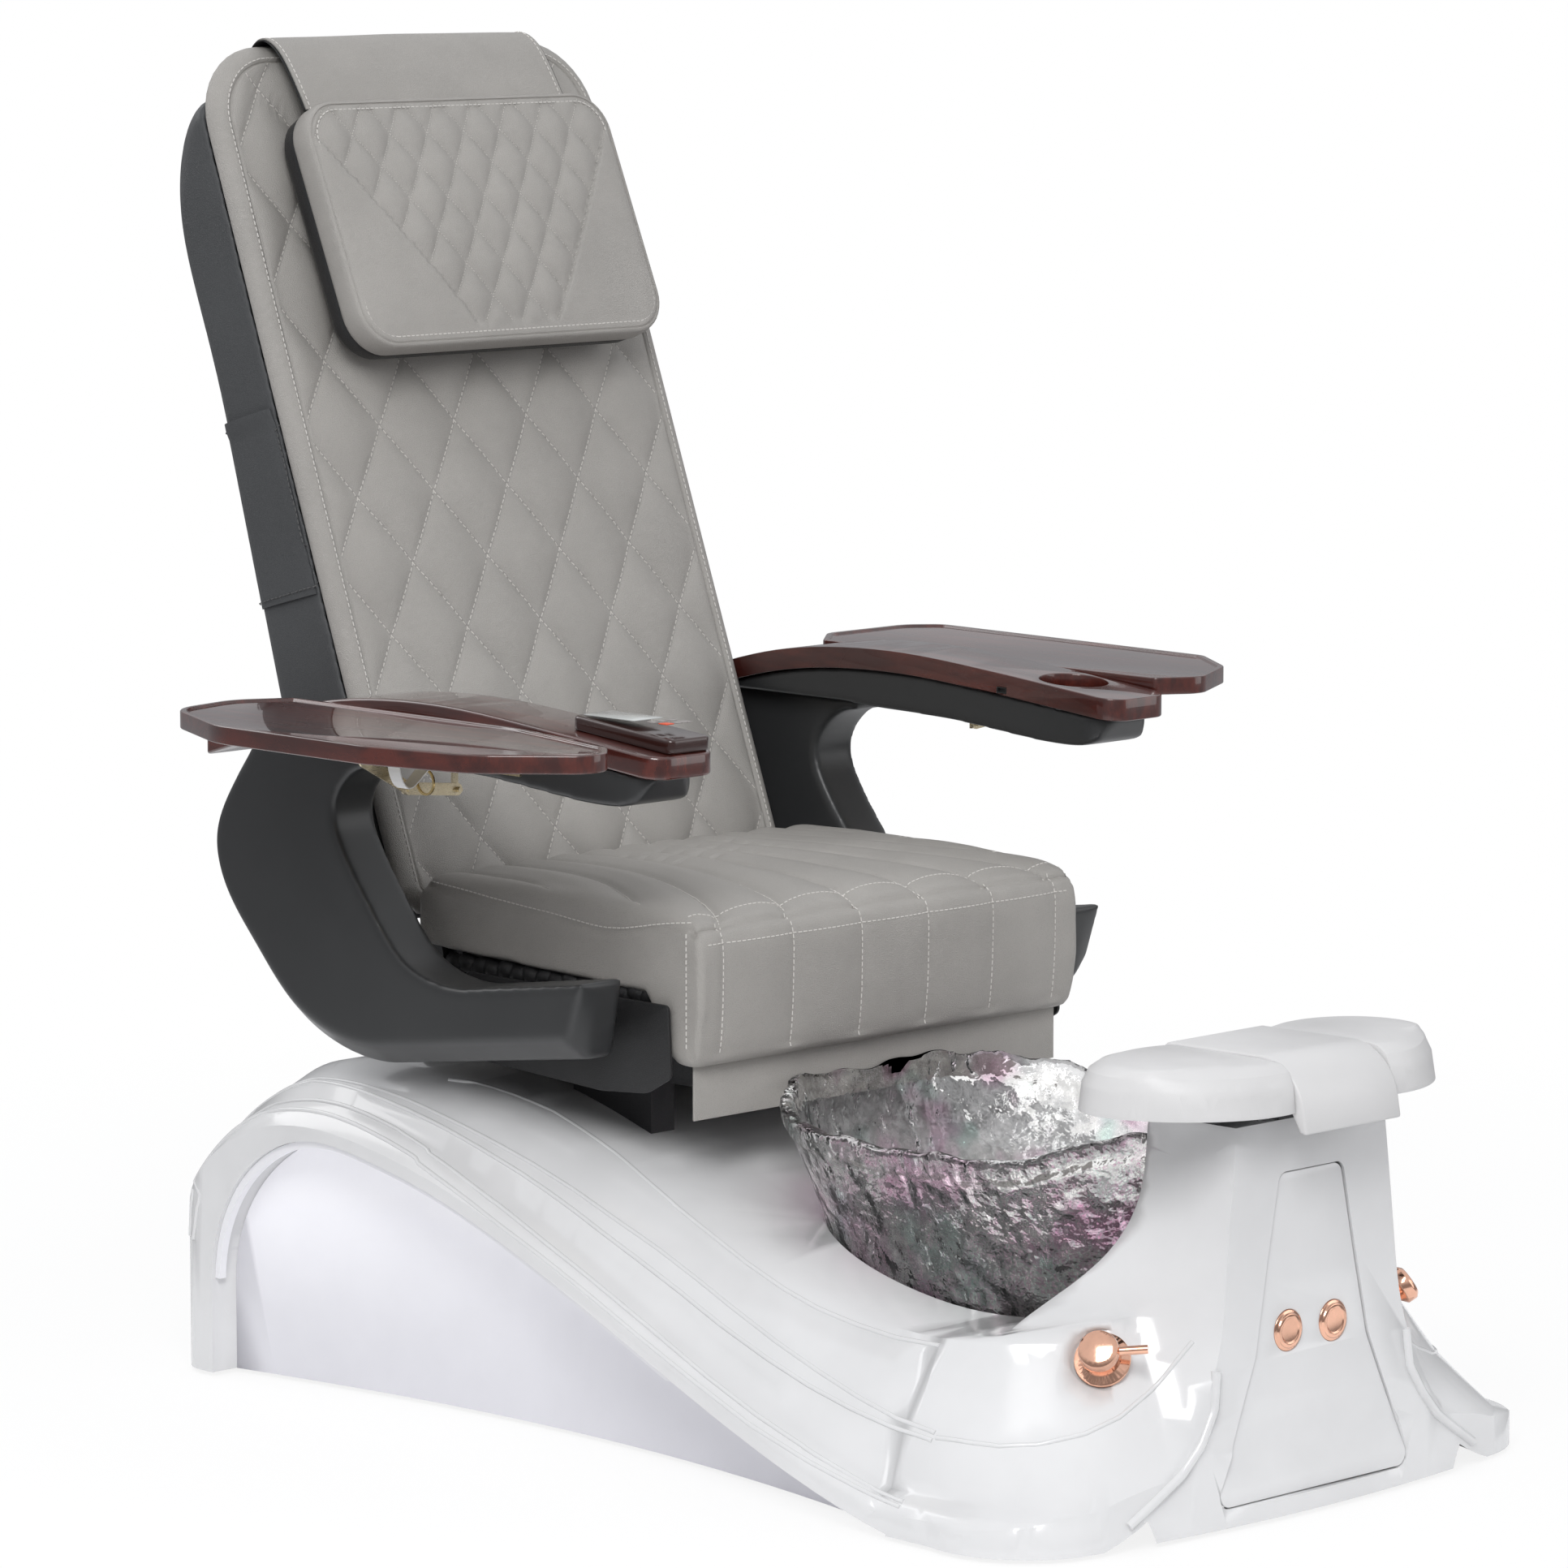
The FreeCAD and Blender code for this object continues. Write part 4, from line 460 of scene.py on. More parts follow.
@dataclass(frozen=True)
class Lacquer(Finish):
    """Stained wood under a thick clear lacquer.

    Attributes:
        dark: Colour of the grain lines.
    """

    dark: Colour = (0.03, 0.006, 0.004, 1.0)

    def dress(self, graph: Graph, shader: bpy.types.Node) -> None:
        """Add long grain under the coat.

        Args:
            graph: The material's tree.
            shader: Its Principled BSDF.
        """
        stretched = graph.add("Mapping", {"Vector": graph.place(), "Scale": (1.0, 0.07, 0.4)})
        long_grain = graph.noise(stretched.outputs["Vector"], 85.0, 6.0, 0.62)
        pores = graph.noise(stretched.outputs["Vector"], 900.0, 2.0)
        colour = graph.mix(graph.spread(long_grain, 0.36, 0.66), self.dark, self.colour)
        colour = graph.mix(graph.spread(pores, 0.62, 0.72, 0.0, 0.35), colour, self.dark)
        graph.feed(shader.inputs["Base Color"], colour)
        clouds = self.group(graph, Effect.CLOUDS, Vector=graph.place(), Scale=6.0)
        graph.feed(shader.inputs["Roughness"], graph.spread(clouds.outputs["Wide"], 0.0, 1.0, self.roughness,
                                                            self.roughness + 0.06))
        graph.feed(shader.inputs["Normal"], graph.bump(pores, 0.00002, 0.4))
        shader.inputs["Coat Weight"].default_value = 1.0
        shader.inputs["Coat Roughness"].default_value = 0.035


@dataclass(frozen=True)
class Metal(Finish):
    """Bare, plated or painted metal.

    Attributes:
        metallic: 1 for bare metal, 0 for paint.
        brush: Stretch of the finishing marks along X; 1 leaves them even.
    """

    metallic: float = 1.0
    brush: float = 1.0

    def dress(self, graph: Graph, shader: bpy.types.Node) -> None:
        """Add polishing marks and faint stains.

        Args:
            graph: The material's tree.
            shader: Its Principled BSDF.
        """
        place = graph.place()
        marks = graph.add("Mapping", {"Vector": place, "Scale": (1.0 / self.brush, 1.0, 1.0)})
        fine = graph.noise(marks.outputs["Vector"], 700.0, 3.0)
        clouds = self.group(graph, Effect.CLOUDS, Vector=place, Scale=40.0)
        colour = graph.mix(clouds.outputs["Wide"], self.shade(0.88), self.shade(1.06))
        graph.feed(shader.inputs["Base Color"], colour)
        rough = graph.spread(fine, 0.3, 0.7, self.roughness * 0.75, self.roughness * 1.35)
        graph.feed(shader.inputs["Roughness"], rough)
        graph.feed(shader.inputs["Normal"], graph.bump(fine, 0.00001, 0.5))
        shader.inputs["Metallic"].default_value = self.metallic


@dataclass(frozen=True)
class RippledGlass(Finish):
    """Clear glass with a hammered outside."""

    def dress(self, graph: Graph, shader: bpy.types.Node) -> None:
        """Add the hammered relief, with dark patches and pink and mint glints painted into the colour in place
        of reflections.

        Args:
            graph: The material's tree.
            shader: Its Principled BSDF.
        """
        place = graph.place()
        squeezed = graph.add("Mapping", {"Vector": place, "Scale": (1.0, 1.0, 0.62)})
        bend = graph.add("TexNoise", {"Vector": squeezed.outputs["Vector"], "Scale": 26.0, "Detail": 1.0})
        shifted = graph.add("VectorMath", {0: bend.outputs["Color"], 1: (0.03, 0.03, 0.03),
                                           2: squeezed.outputs["Vector"]}, operation="MULTIPLY_ADD")
        cells = graph.add("TexVoronoi", {"Vector": shifted.outputs["Vector"], "Scale": 42.0,
                                         "Smoothness": 0.6}, feature="SMOOTH_F1")
        ripple = graph.math("MULTIPLY", graph.noise(place, 90.0, 2.0), 0.4)
        height = graph.math("ADD", cells.outputs["Distance"], ripple)
        graph.feed(shader.inputs["Normal"], graph.bump(height, 0.0055))
        # Painted reflections: darker patches and pink and mint glints are mixed into the glass's colour.
        dark_reflection_mask = graph.spread(graph.noise(place, 55.0, 5.0, 0.65), 0.42, 0.56)
        dark_reflection_paint = graph.mix(dark_reflection_mask, self.shade(0.72), self.colour)
        pink_glint = graph.spread(graph.noise(place, 13.0, 2.0), 0.50, 0.60, 0.0, 0.9)
        painted_glints = graph.mix(pink_glint, dark_reflection_paint, (0.98, 0.70, 0.87, 1.0), "MULTIPLY")
        moved = graph.add("Mapping", {"Vector": place, "Location": (0.7, 0.3, 0.2)}).outputs["Vector"]
        mint_glint = graph.spread(graph.noise(moved, 15.0, 2.0), 0.57, 0.67, 0.0, 0.7)
        painted_glints = graph.mix(mint_glint, painted_glints, (0.72, 0.95, 0.88, 1.0), "MULTIPLY")
        graph.feed(shader.inputs["Base Color"], painted_glints)
        shader.inputs["Transmission Weight"].default_value = 1.0
        shader.inputs["IOR"].default_value = 1.47


@dataclass(frozen=True)
class Lit(Finish):
    """Translucent white plastic, lit from behind.

    Attributes:
        glow: Colour of the light.
        strength: Strength of the light.
        low: Height where the glow starts, in metres.
        high: Height where it is full, in metres.
    """

    glow: Colour = (0.94, 0.93, 1.0, 1.0)
    strength: float = 0.6
    low: float = 0.0
    high: float = 0.3

    def dress(self, graph: Graph, shader: bpy.types.Node) -> None:
        """Add the glow, and a base colour painted lighter with it, both stronger towards its top.

        Args:
            graph: The material's tree.
            shader: Its Principled BSDF.
        """
        place = graph.place()
        parts = graph.add("SeparateXYZ", {"Vector": place})
        rise = graph.spread(parts.outputs["Z"], self.low, self.high)
        clouds = self.group(graph, Effect.CLOUDS, Vector=place, Scale=5.0)
        soft = graph.math("MULTIPLY_ADD", clouds.outputs["Wide"], 0.15, rise)
        # Painted light: the base colour, like the glow, is lighter towards the top.
        graph.feed(shader.inputs["Base Color"], graph.mix(soft, self.shade(0.9), self.colour))
        graph.feed(shader.inputs["Emission Color"], graph.mix(soft, (0.25, 0.24, 0.30, 1.0), self.glow))
        graph.feed(shader.inputs["Roughness"], graph.spread(clouds.outputs["Fine"], 0.2, 0.8, self.roughness,
                                                            self.roughness + 0.1))
        shader.inputs["Emission Strength"].default_value = self.strength


GREY = (0.405, 0.388, 0.365, 1.0)
GREY_LEATHER = Leather("grey leather", GREY, 0.46)
QUILTED_LEATHER = Leather("quilted grey leather", GREY, 0.46, quilt=PAD_DIAMOND)
PILLOW_LEATHER = Leather("pillow leather", GREY, 0.45, quilt=PILLOW_DIAMOND)
CHARCOAL_LEATHER = Leather("charcoal leather", (0.062, 0.065, 0.068, 1.0), 0.42, grain=900.0, relief=0.00015)
BLACK_LEATHER = Leather("black leather", (0.016, 0.016, 0.017, 1.0), 0.38, grain=900.0, relief=0.00015)
PALE_THREAD = Moulded("pale sewing thread", (0.66, 0.64, 0.61, 1.0), 0.7, relief=0.0001)
DARK_THREAD = Moulded("dark sewing thread", (0.09, 0.09, 0.09, 1.0), 0.7, relief=0.0001)
WHITE_GEL = Moulded("white gel coat", (0.70, 0.70, 0.705, 1.0), 0.20, coat=0.4, texture=40.0, relief=0.00003)
FOAM_SKIN = Moulded("white foam skin", (0.64, 0.635, 0.635, 1.0), 0.36, texture=1400.0, relief=0.00010)
SATIN_BLACK = Moulded("satin black moulding", (0.030, 0.031, 0.032, 1.0), 0.33, texture=2500.0,
                      relief=0.00004)
BLACK_PLASTIC = Moulded("black plastic", (0.02, 0.02, 0.02, 1.0), 0.5)
RUBBER = Moulded("black rubber", (0.018, 0.018, 0.018, 1.0), 0.7, texture=1500.0, relief=0.0001)
MAHOGANY = Lacquer("mahogany lacquer", (0.090, 0.016, 0.010, 1.0), 0.26, dark=(0.040, 0.008, 0.006, 1.0))
REMOTE_BROWN = Moulded("dark brown case", (0.030, 0.010, 0.008, 1.0), 0.2, coat=0.6)
SCREEN = Moulded("pale screen", (0.55, 0.57, 0.56, 1.0), 0.15, coat=0.6)
SIGNAL_RED = Moulded("orange red key", (0.75, 0.09, 0.03, 1.0), 0.3)
KEY_GREY = Moulded("grey key", (0.30, 0.28, 0.27, 1.0), 0.4)
ROSE_COPPER = Metal("rose copper", (0.86, 0.50, 0.36, 1.0), 0.11)
YELLOW_ZINC = Metal("yellow zinc", (0.62, 0.54, 0.38, 1.0), 0.30, brush=6.0)
BRIGHT_STEEL = Metal("bright steel", (0.58, 0.58, 0.59, 1.0), 0.26, brush=8.0)
BRASS = Metal("brass", (0.72, 0.55, 0.26, 1.0), 0.22)
BLACK_PAINT = Metal("black paint", (0.02, 0.02, 0.022, 1.0), 0.45, metallic=0.0)
WEBBING = Moulded("white webbing", (0.72, 0.72, 0.72, 1.0), 0.8, texture=1600.0, relief=0.0002)
# Its colour carries painted reflections: dark patches and pink and mint glints.
BOWL_GLASS = RippledGlass("smoky rippled glass", (1.0, 0.995, 0.985, 1.0), 0.02)
LIT_PANEL = Lit("lit side panel", (0.68, 0.68, 0.70, 1.0), 0.3, strength=0.34, low=0.02, high=0.28)
LIT_STRIP = Lit("light strip", (0.72, 0.72, 0.74, 1.0), 0.3, strength=0.12, low=0.0, high=0.1)

SLOT_FINISHES: dict[str, Finish] = {
    "white_shell": WHITE_GEL, "lit_panel": LIT_PANEL, "light_strip": LIT_STRIP, "bowl_glass": BOWL_GLASS,
    "frame_steel": BLACK_PAINT, "rubber": RUBBER, "drain_plastic": BLACK_PLASTIC, "motor_black": BLACK_PAINT,
    "control_plastic": BLACK_PLASTIC, "rod_steel": BRIGHT_STEEL, "copper": ROSE_COPPER,
    "seat_leather": GREY_LEATHER, "skirt_grey": GREY_LEATHER, "skirt_black": BLACK_LEATHER,
    "arm_black": SATIN_BLACK, "arm_wood": MAHOGANY,
    "socket_black": BLACK_PLASTIC, "remote_brown": REMOTE_BROWN, "zinc": YELLOW_ZINC, "strap_white": WEBBING,
    "ring_brass": BRASS, "pad_white": FOAM_SKIN, "back_black": CHARCOAL_LEATHER, "back_leather": GREY_LEATHER,
    "strap_grey": GREY_LEATHER, "roller_rubber": RUBBER,
}


class Workshop:
    """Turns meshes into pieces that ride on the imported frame."""

    TUBE_RESOLUTION = 3
    WELD = 2e-6

    def __init__(self, frame: dict) -> None:
        """Read which body and slot each node has.

        Args:
            frame: The loaded frame.
        """
        self.frame = frame
        bodies = frame["record"]["behaviour"]["bodies"]
        self.body_of = {node: body for body, nodes in bodies.items() for node in nodes}
        self.slot_of = {row["node"]: row["material_slot"] for row in frame["record"]["subparts"]}
        self.replaced: set[str] = set()

    def node_mesh(self, node: str) -> bmesh.types.BMesh:
        """Copy a node's mesh, with its loose triangles joined.

        Args:
            node: Name of the node.

        Returns:
            The copy.
        """
        copy = bmesh.new()
        copy.from_mesh(self.frame["nodes"][node].data)
        bmesh.ops.remove_doubles(copy, verts=copy.verts, dist=self.WELD)
        return copy

    def piece(self, name: str, mesh: bmesh.types.BMesh, finish: Finish, body: str, slot: str,
              replaces: Sequence[str] = (), sharp: float = 35.0) -> bpy.types.Object:
        """Make an object that rides on a body.

        Args:
            name: Name of the piece.
            mesh: Its mesh, freed here.
            finish: Its finish.
            body: The body that it rides on.
            slot: The record's slot; not used.
            replaces: Nodes that it stands for.
            sharp: Angle in degrees above which an edge stays sharp.

        Returns:
            The object.
        """
        made = placed(name, mesh)
        made.data.materials.append(finish.material())
        made.data.shade_smooth()
        made.data.set_sharp_from_angle(angle=math.radians(sharp))
        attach(made, body)
        if replaces:
            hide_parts(*replaces)
            self.replaced.update(replaces)
        LOG.info("%s: %d faces on %s", name, len(made.data.polygons), body)
        return made

    def refined(self, node: str, width: float, segments: int = 2) -> None:
        """Replace a node by a copy with eased edges.

        Args:
            node: Name of the node.
            width: Width of the eased edges in metres.
            segments: Steps across an eased edge.
        """
        copy = self.node_mesh(node)
        bmesh.ops.dissolve_limit(copy, angle_limit=FLAT_ANGLE, verts=copy.verts, edges=copy.edges)
        edges = [edge for edge in copy.edges if edge.is_manifold and edge.calc_face_angle(0.0) > EDGE_ANGLE]
        bmesh.ops.bevel(copy, geom=edges, offset=width, offset_type="OFFSET", segments=segments,
                        profile=0.5, affect="EDGES", clamp_overlap=True, material=-1)
        slot = self.slot_of[node]
        self.piece(node + "_finished", copy, SLOT_FINISHES[slot], self.body_of[node], slot, (node,))

    def tube(self, name: str, points: Sequence[Vector], radius: float) -> bmesh.types.BMesh:
        """Sweep a round section along points.

        Args:
            name: Name for the passing curve.
            points: The path.
            radius: Radius of the section.

        Returns:
            The mesh.
        """
        curve = bpy.data.curves.new(name, "CURVE")
        curve.dimensions = "3D"
        curve.bevel_depth = radius
        curve.bevel_resolution = self.TUBE_RESOLUTION
        curve.use_fill_caps = True
        spline = curve.splines.new("POLY")
        spline.points.add(len(points) - 1)
        for target, point in zip(spline.points, points):
            target.co = (*point, 1.0)
        holder = bpy.data.objects.new(name, curve)
        data = bpy.data.meshes.new_from_object(holder)
        swept = bmesh.new()
        swept.from_mesh(data)
        bpy.data.objects.remove(holder)
        bpy.data.meshes.remove(data)
        return swept

    def stitches(self, points: Sequence[Vector], pitch: float = 0.007, length: float = 0.0045,
                 radius: float = 0.0007) -> bmesh.types.BMesh:
        """Lay short thread dashes along a path.

        Args:
            points: The path.
            pitch: Distance from stitch to stitch.
            length: Length of a stitch.
            radius: Radius of the thread.

        Returns:
            The mesh.
        """
        sewn = bmesh.new()
        left = 0.0
        for first, last in zip(points, points[1:]):
            way = last - first
            if way.length < 1e-6:
                continue
            turn = way.to_track_quat("Z", "Y").to_matrix().to_4x4()
            while left < way.length:
                middle = first + way * (left / way.length)
                bmesh.ops.create_cone(sewn, cap_ends=True, segments=5, radius1=radius, radius2=radius,
                                      depth=length, matrix=Matrix.Translation(middle) @ turn)
                left += pitch
            left -= way.length
        return sewn

    @staticmethod
    def joined(parts: Iterable[bmesh.types.BMesh]) -> bmesh.types.BMesh:
        """Put meshes into one.

        Args:
            parts: The meshes, freed here.

        Returns:
            The joined mesh.
        """
        whole = bmesh.new()
        for part in parts:
            data = bpy.data.meshes.new("part")
            part.to_mesh(data)
            part.free()
            whole.from_mesh(data)
            bpy.data.meshes.remove(data)
        return whole

    @staticmethod
    def thickened(rows: Sequence[Sequence[Vector]], thickness: float) -> bmesh.types.BMesh:
        """Make a thin body from rows of points.

        Args:
            rows: Rows with the same number of points.
            thickness: Thickness of the body.

        Returns:
            The mesh.
        """
        sheet = bmesh.new()
        grid = [[sheet.verts.new(point) for point in row] for row in rows]
        for low, high in zip(grid, grid[1:]):
            for k in range(len(low) - 1):
                sheet.faces.new((low[k], low[k + 1], high[k + 1], high[k]))
        bmesh.ops.recalc_face_normals(sheet, faces=sheet.faces)
        whole = sheet.faces[:] + sheet.edges[:] + sheet.verts[:]
        bmesh.ops.solidify(sheet, geom=whole, thickness=thickness)
        return sheet

    @staticmethod
    def stuffed(block: bmesh.types.BMesh, voxel: float, rounds: int) -> bmesh.types.BMesh:
        """Give a closed mesh even faces and soft edges.

        Args:
            block: The mesh, freed here.
            voxel: Size of the new faces.
            rounds: Smoothing steps.

        Returns:
            The soft body.
        """
        made = placed("soft_body", block)
        remesh = made.modifiers.new("even", "REMESH")
        remesh.mode = "VOXEL"
        remesh.voxel_size = voxel
        bpy.context.view_layer.update()
        graph = bpy.context.evaluated_depsgraph_get()
        even = bpy.data.meshes.new_from_object(made.evaluated_get(graph))
        soft = bmesh.new()
        soft.from_mesh(even)
        start = made.data
        bpy.data.objects.remove(made)
        bpy.data.meshes.remove(start)
        bpy.data.meshes.remove(even)
        for _ in range(rounds):
            bmesh.ops.smooth_vert(soft, verts=soft.verts, factor=0.5, use_axis_x=True, use_axis_y=True,
                                  use_axis_z=True)
        return soft


class Maker:
    """Makes one part of the chair in the workshop."""

    def __init__(self, shop: Workshop) -> None:
        """Keep the workshop."""
        self.shop = shop


@dataclass(frozen=True)
class Panel:
    """Outline of a sewn panel, a rectangle with rounded corners in its own plane.

    Attributes:
        half: Half width.
        low: Lower end.
        high: Upper end.
        low_round: Radius of the lower corners.
        high_round: Radius of the upper corners.
    """

    half: float
    low: float
    high: float
    low_round: float
    high_round: float

    def reach(self, rise: float) -> float:
        """Give the half width at a height.

        Args:
            rise: The height.

        Returns:
            Half of the panel's width there.
        """
        for round_off, inward in ((self.high_round, rise - self.high + self.high_round),
                                  (self.low_round, self.low + self.low_round - rise)):
            if inward > 0 and round_off > 0:
                short = max(round_off ** 2 - min(inward, round_off) ** 2, 0.0)
                return self.half - round_off + math.sqrt(short)
        return self.half

    def rows(self, pitch: float) -> list[float]:
        """Give heights that follow the corners closely.

        Args:
            pitch: Step between the corners.

        Returns:
            The heights from low to high.
        """
        corner = [math.sin(math.pi / 2 * n / 10) for n in range(11)]
        low, high = [self.low], [self.high]
        if self.low_round:
            low = [self.low + self.low_round * (1 - part) for part in reversed(corner)]
        if self.high_round:
            high = [self.high - self.high_round * (1 - part) for part in corner]
        count = max(2, round((high[0] - low[-1]) / pitch))
        middle = [low[-1] + (high[0] - low[-1]) * n / count for n in range(1, count)]
        return low + middle + high

    def outward(self, across: float, rise: float) -> Vector:
        """Give the direction that leads out of the panel at a point of its edge.

        Args:
            across: The point's distance from the middle.
            rise: The point's height.

        Returns:
            A unit vector in the panel's plane.
        """
        for round_off, centre, turned in ((self.high_round, self.high - self.high_round, 1),
                                          (self.low_round, self.low + self.low_round, -1)):
            if round_off > 0 and (rise - centre) * turned > 0:
                arm = Vector((abs(across) - self.half + round_off, rise - centre))
                if arm.x < 1e-6 or arm.length < 1e-6:
                    return Vector((0.0, float(turned)))
                return Vector((math.copysign(arm.x, across), arm.y)).normalized()
        return Vector((math.copysign(1.0, across), 0.0))


@dataclass(frozen=True)
class Quilt:
    """Diamonds sewn into a panel.

    Attributes:
        width: Width of a diamond.
        height: Height of a diamond.
        base: Height of the middle of a diamond on the middle line.
        puff: Rise of a diamond's middle.
        inside: Whether a point lies in the quilted field.
    """

    width: float
    height: float
    base: float
    puff: float
    inside: Callable[[float, float], bool]

    def swell(self, across: float, rise: float) -> float:
        """Give the rise of the leather at a point.

        Args:
            across: Distance from the middle.
            rise: Height.

        Returns:
            The rise over the seams, in metres.
        """
        if not self.inside(across, rise):
            return self.puff * 0.8
        first = (rise - self.base) / (self.height / 2) - across / (self.width / 2)
        second = first + 2 * across / (self.width / 2)
        dome = abs(math.cos(math.pi / 2 * first) * math.cos(math.pi / 2 * second))
        return self.puff * dome ** 0.5


class SewnPad:
    """A padded panel with a seam round it and a gusset that closes it at the rear."""

    def __init__(self, panel: Panel, place: Matrix, depth: Callable[[float, float], float]) -> None:
        """Keep the pad's forms.

        Args:
            panel: Outline of its face.
            place: Turns (across, depth, rise) into world coordinates.
            depth: Depth of the face at a point; lower is nearer the sitter.
        """
        self.panel = panel
        self.place = place
        self.depth = depth

    def build(self, pitch: float, rings: Sequence[tuple[float, float]],
              quilt: Quilt | None) -> bmesh.types.BMesh:
        """Make the pad.

        Args:
            pitch: Size of its faces.
            rings: Offset and depth of each ring of the gusset, from the seam to the rear.
            quilt: Its quilting, which also sets the texture coordinates.

        Returns:
            The closed mesh.
        """
        made = bmesh.new()
        field = made.verts.layers.float.new("field")
        flat = made.verts.layers.float_vector.new("flat")
        columns = max(4, round(2 * self.panel.half / pitch))
        rows = self.panel.rows(pitch)
        grid = []
        for rise in rows:
            reach = self.panel.reach(rise)
            line = []
            for n in range(columns + 1):
                across = reach * (2 * n / columns - 1)
                vertex = made.verts.new(self.place @ Vector((across, self.depth(across, rise), rise)))
                vertex[flat] = Vector((across, rise - (quilt.base if quilt else 0.0), 0.0))
                vertex[field] = 1.0 if quilt and quilt.inside(across, rise) else 0.0
                line.append(vertex)
            grid.append(line)
        for low, high in zip(grid, grid[1:]):
            for n in range(columns):
                made.faces.new((low[n], low[n + 1], high[n + 1], high[n]))
        edge = self.edge(rows, columns)
        last = self.edge_vertices(grid)
        for offset, depth in rings:
            ring = []
            for (across, rise), out in edge:
                spot = Vector((across + out.x * offset, depth, rise + out.y * offset))
                vertex = made.verts.new(self.place @ spot)
                vertex[flat] = Vector((0.0, 0.0, 0.0))
                ring.append(vertex)
            for n, vertex in enumerate(ring):
                after = (n + 1) % len(ring)
                made.faces.new((last[n], vertex, ring[after], last[after]))
            last = ring
        made.faces.new(last)
        if quilt:
            layer = made.loops.layers.uv.new("quilt")
            for face in made.faces:
                for loop in face.loops:
                    loop[layer].uv = loop.vert[flat].xy
        bmesh.ops.recalc_face_normals(made, faces=made.faces)
        return made

    @staticmethod
    def edge_vertices(grid: list[list[bmesh.types.BMVert]]) -> list[bmesh.types.BMVert]:
        """Give the vertices round the face.

        Args:
            grid: Rows of vertices.

        Returns:
            They, anticlockwise from the lower left.
        """
        right = [line[-1] for line in grid[1:-1]]
        left = [line[0] for line in reversed(grid[1:-1])]
        return grid[0] + right + grid[-1][::-1] + left

    def edge(self, rows: Sequence[float], columns: int) -> list[tuple[tuple[float, float], Vector]]:
        """Give the points round the face, with the way out at each.

        Args:
            rows: Heights of the rows.
            columns: Faces in a row.

        Returns:
            Points in the order of edge_vertices.
        """
        found = []
        low, high = rows[0], rows[-1]
        across = [2 * n / columns - 1 for n in range(columns + 1)]
        found += [((part * self.panel.reach(low), low), Vector((0.0, -1.0))) for part in across]
        found += [((self.panel.reach(rise), rise), self.panel.outward(self.panel.reach(rise), rise))
                  for rise in rows[1:-1]]
        found += [((part * self.panel.reach(high), high), Vector((0.0, 1.0))) for part in reversed(across)]
        found += [((-self.panel.reach(rise), rise), self.panel.outward(-self.panel.reach(rise), rise))
                  for rise in reversed(rows[1:-1])]
        return found

    def path(self, offset: float, depth: float, pitch: float = 0.004) -> list[Vector]:
        """Give a line beside the seam.

        Args:
            offset: Distance outside the seam.
            depth: Depth of the line.
            pitch: Size of its steps.

        Returns:
            A closed run of points in the world.
        """
        edge = self.edge(self.panel.rows(pitch), 40)
        line = [self.place @ Vector((a + out.x * offset, depth, r + out.y * offset)) for (a, r), out in edge]
        return line + line[:1]


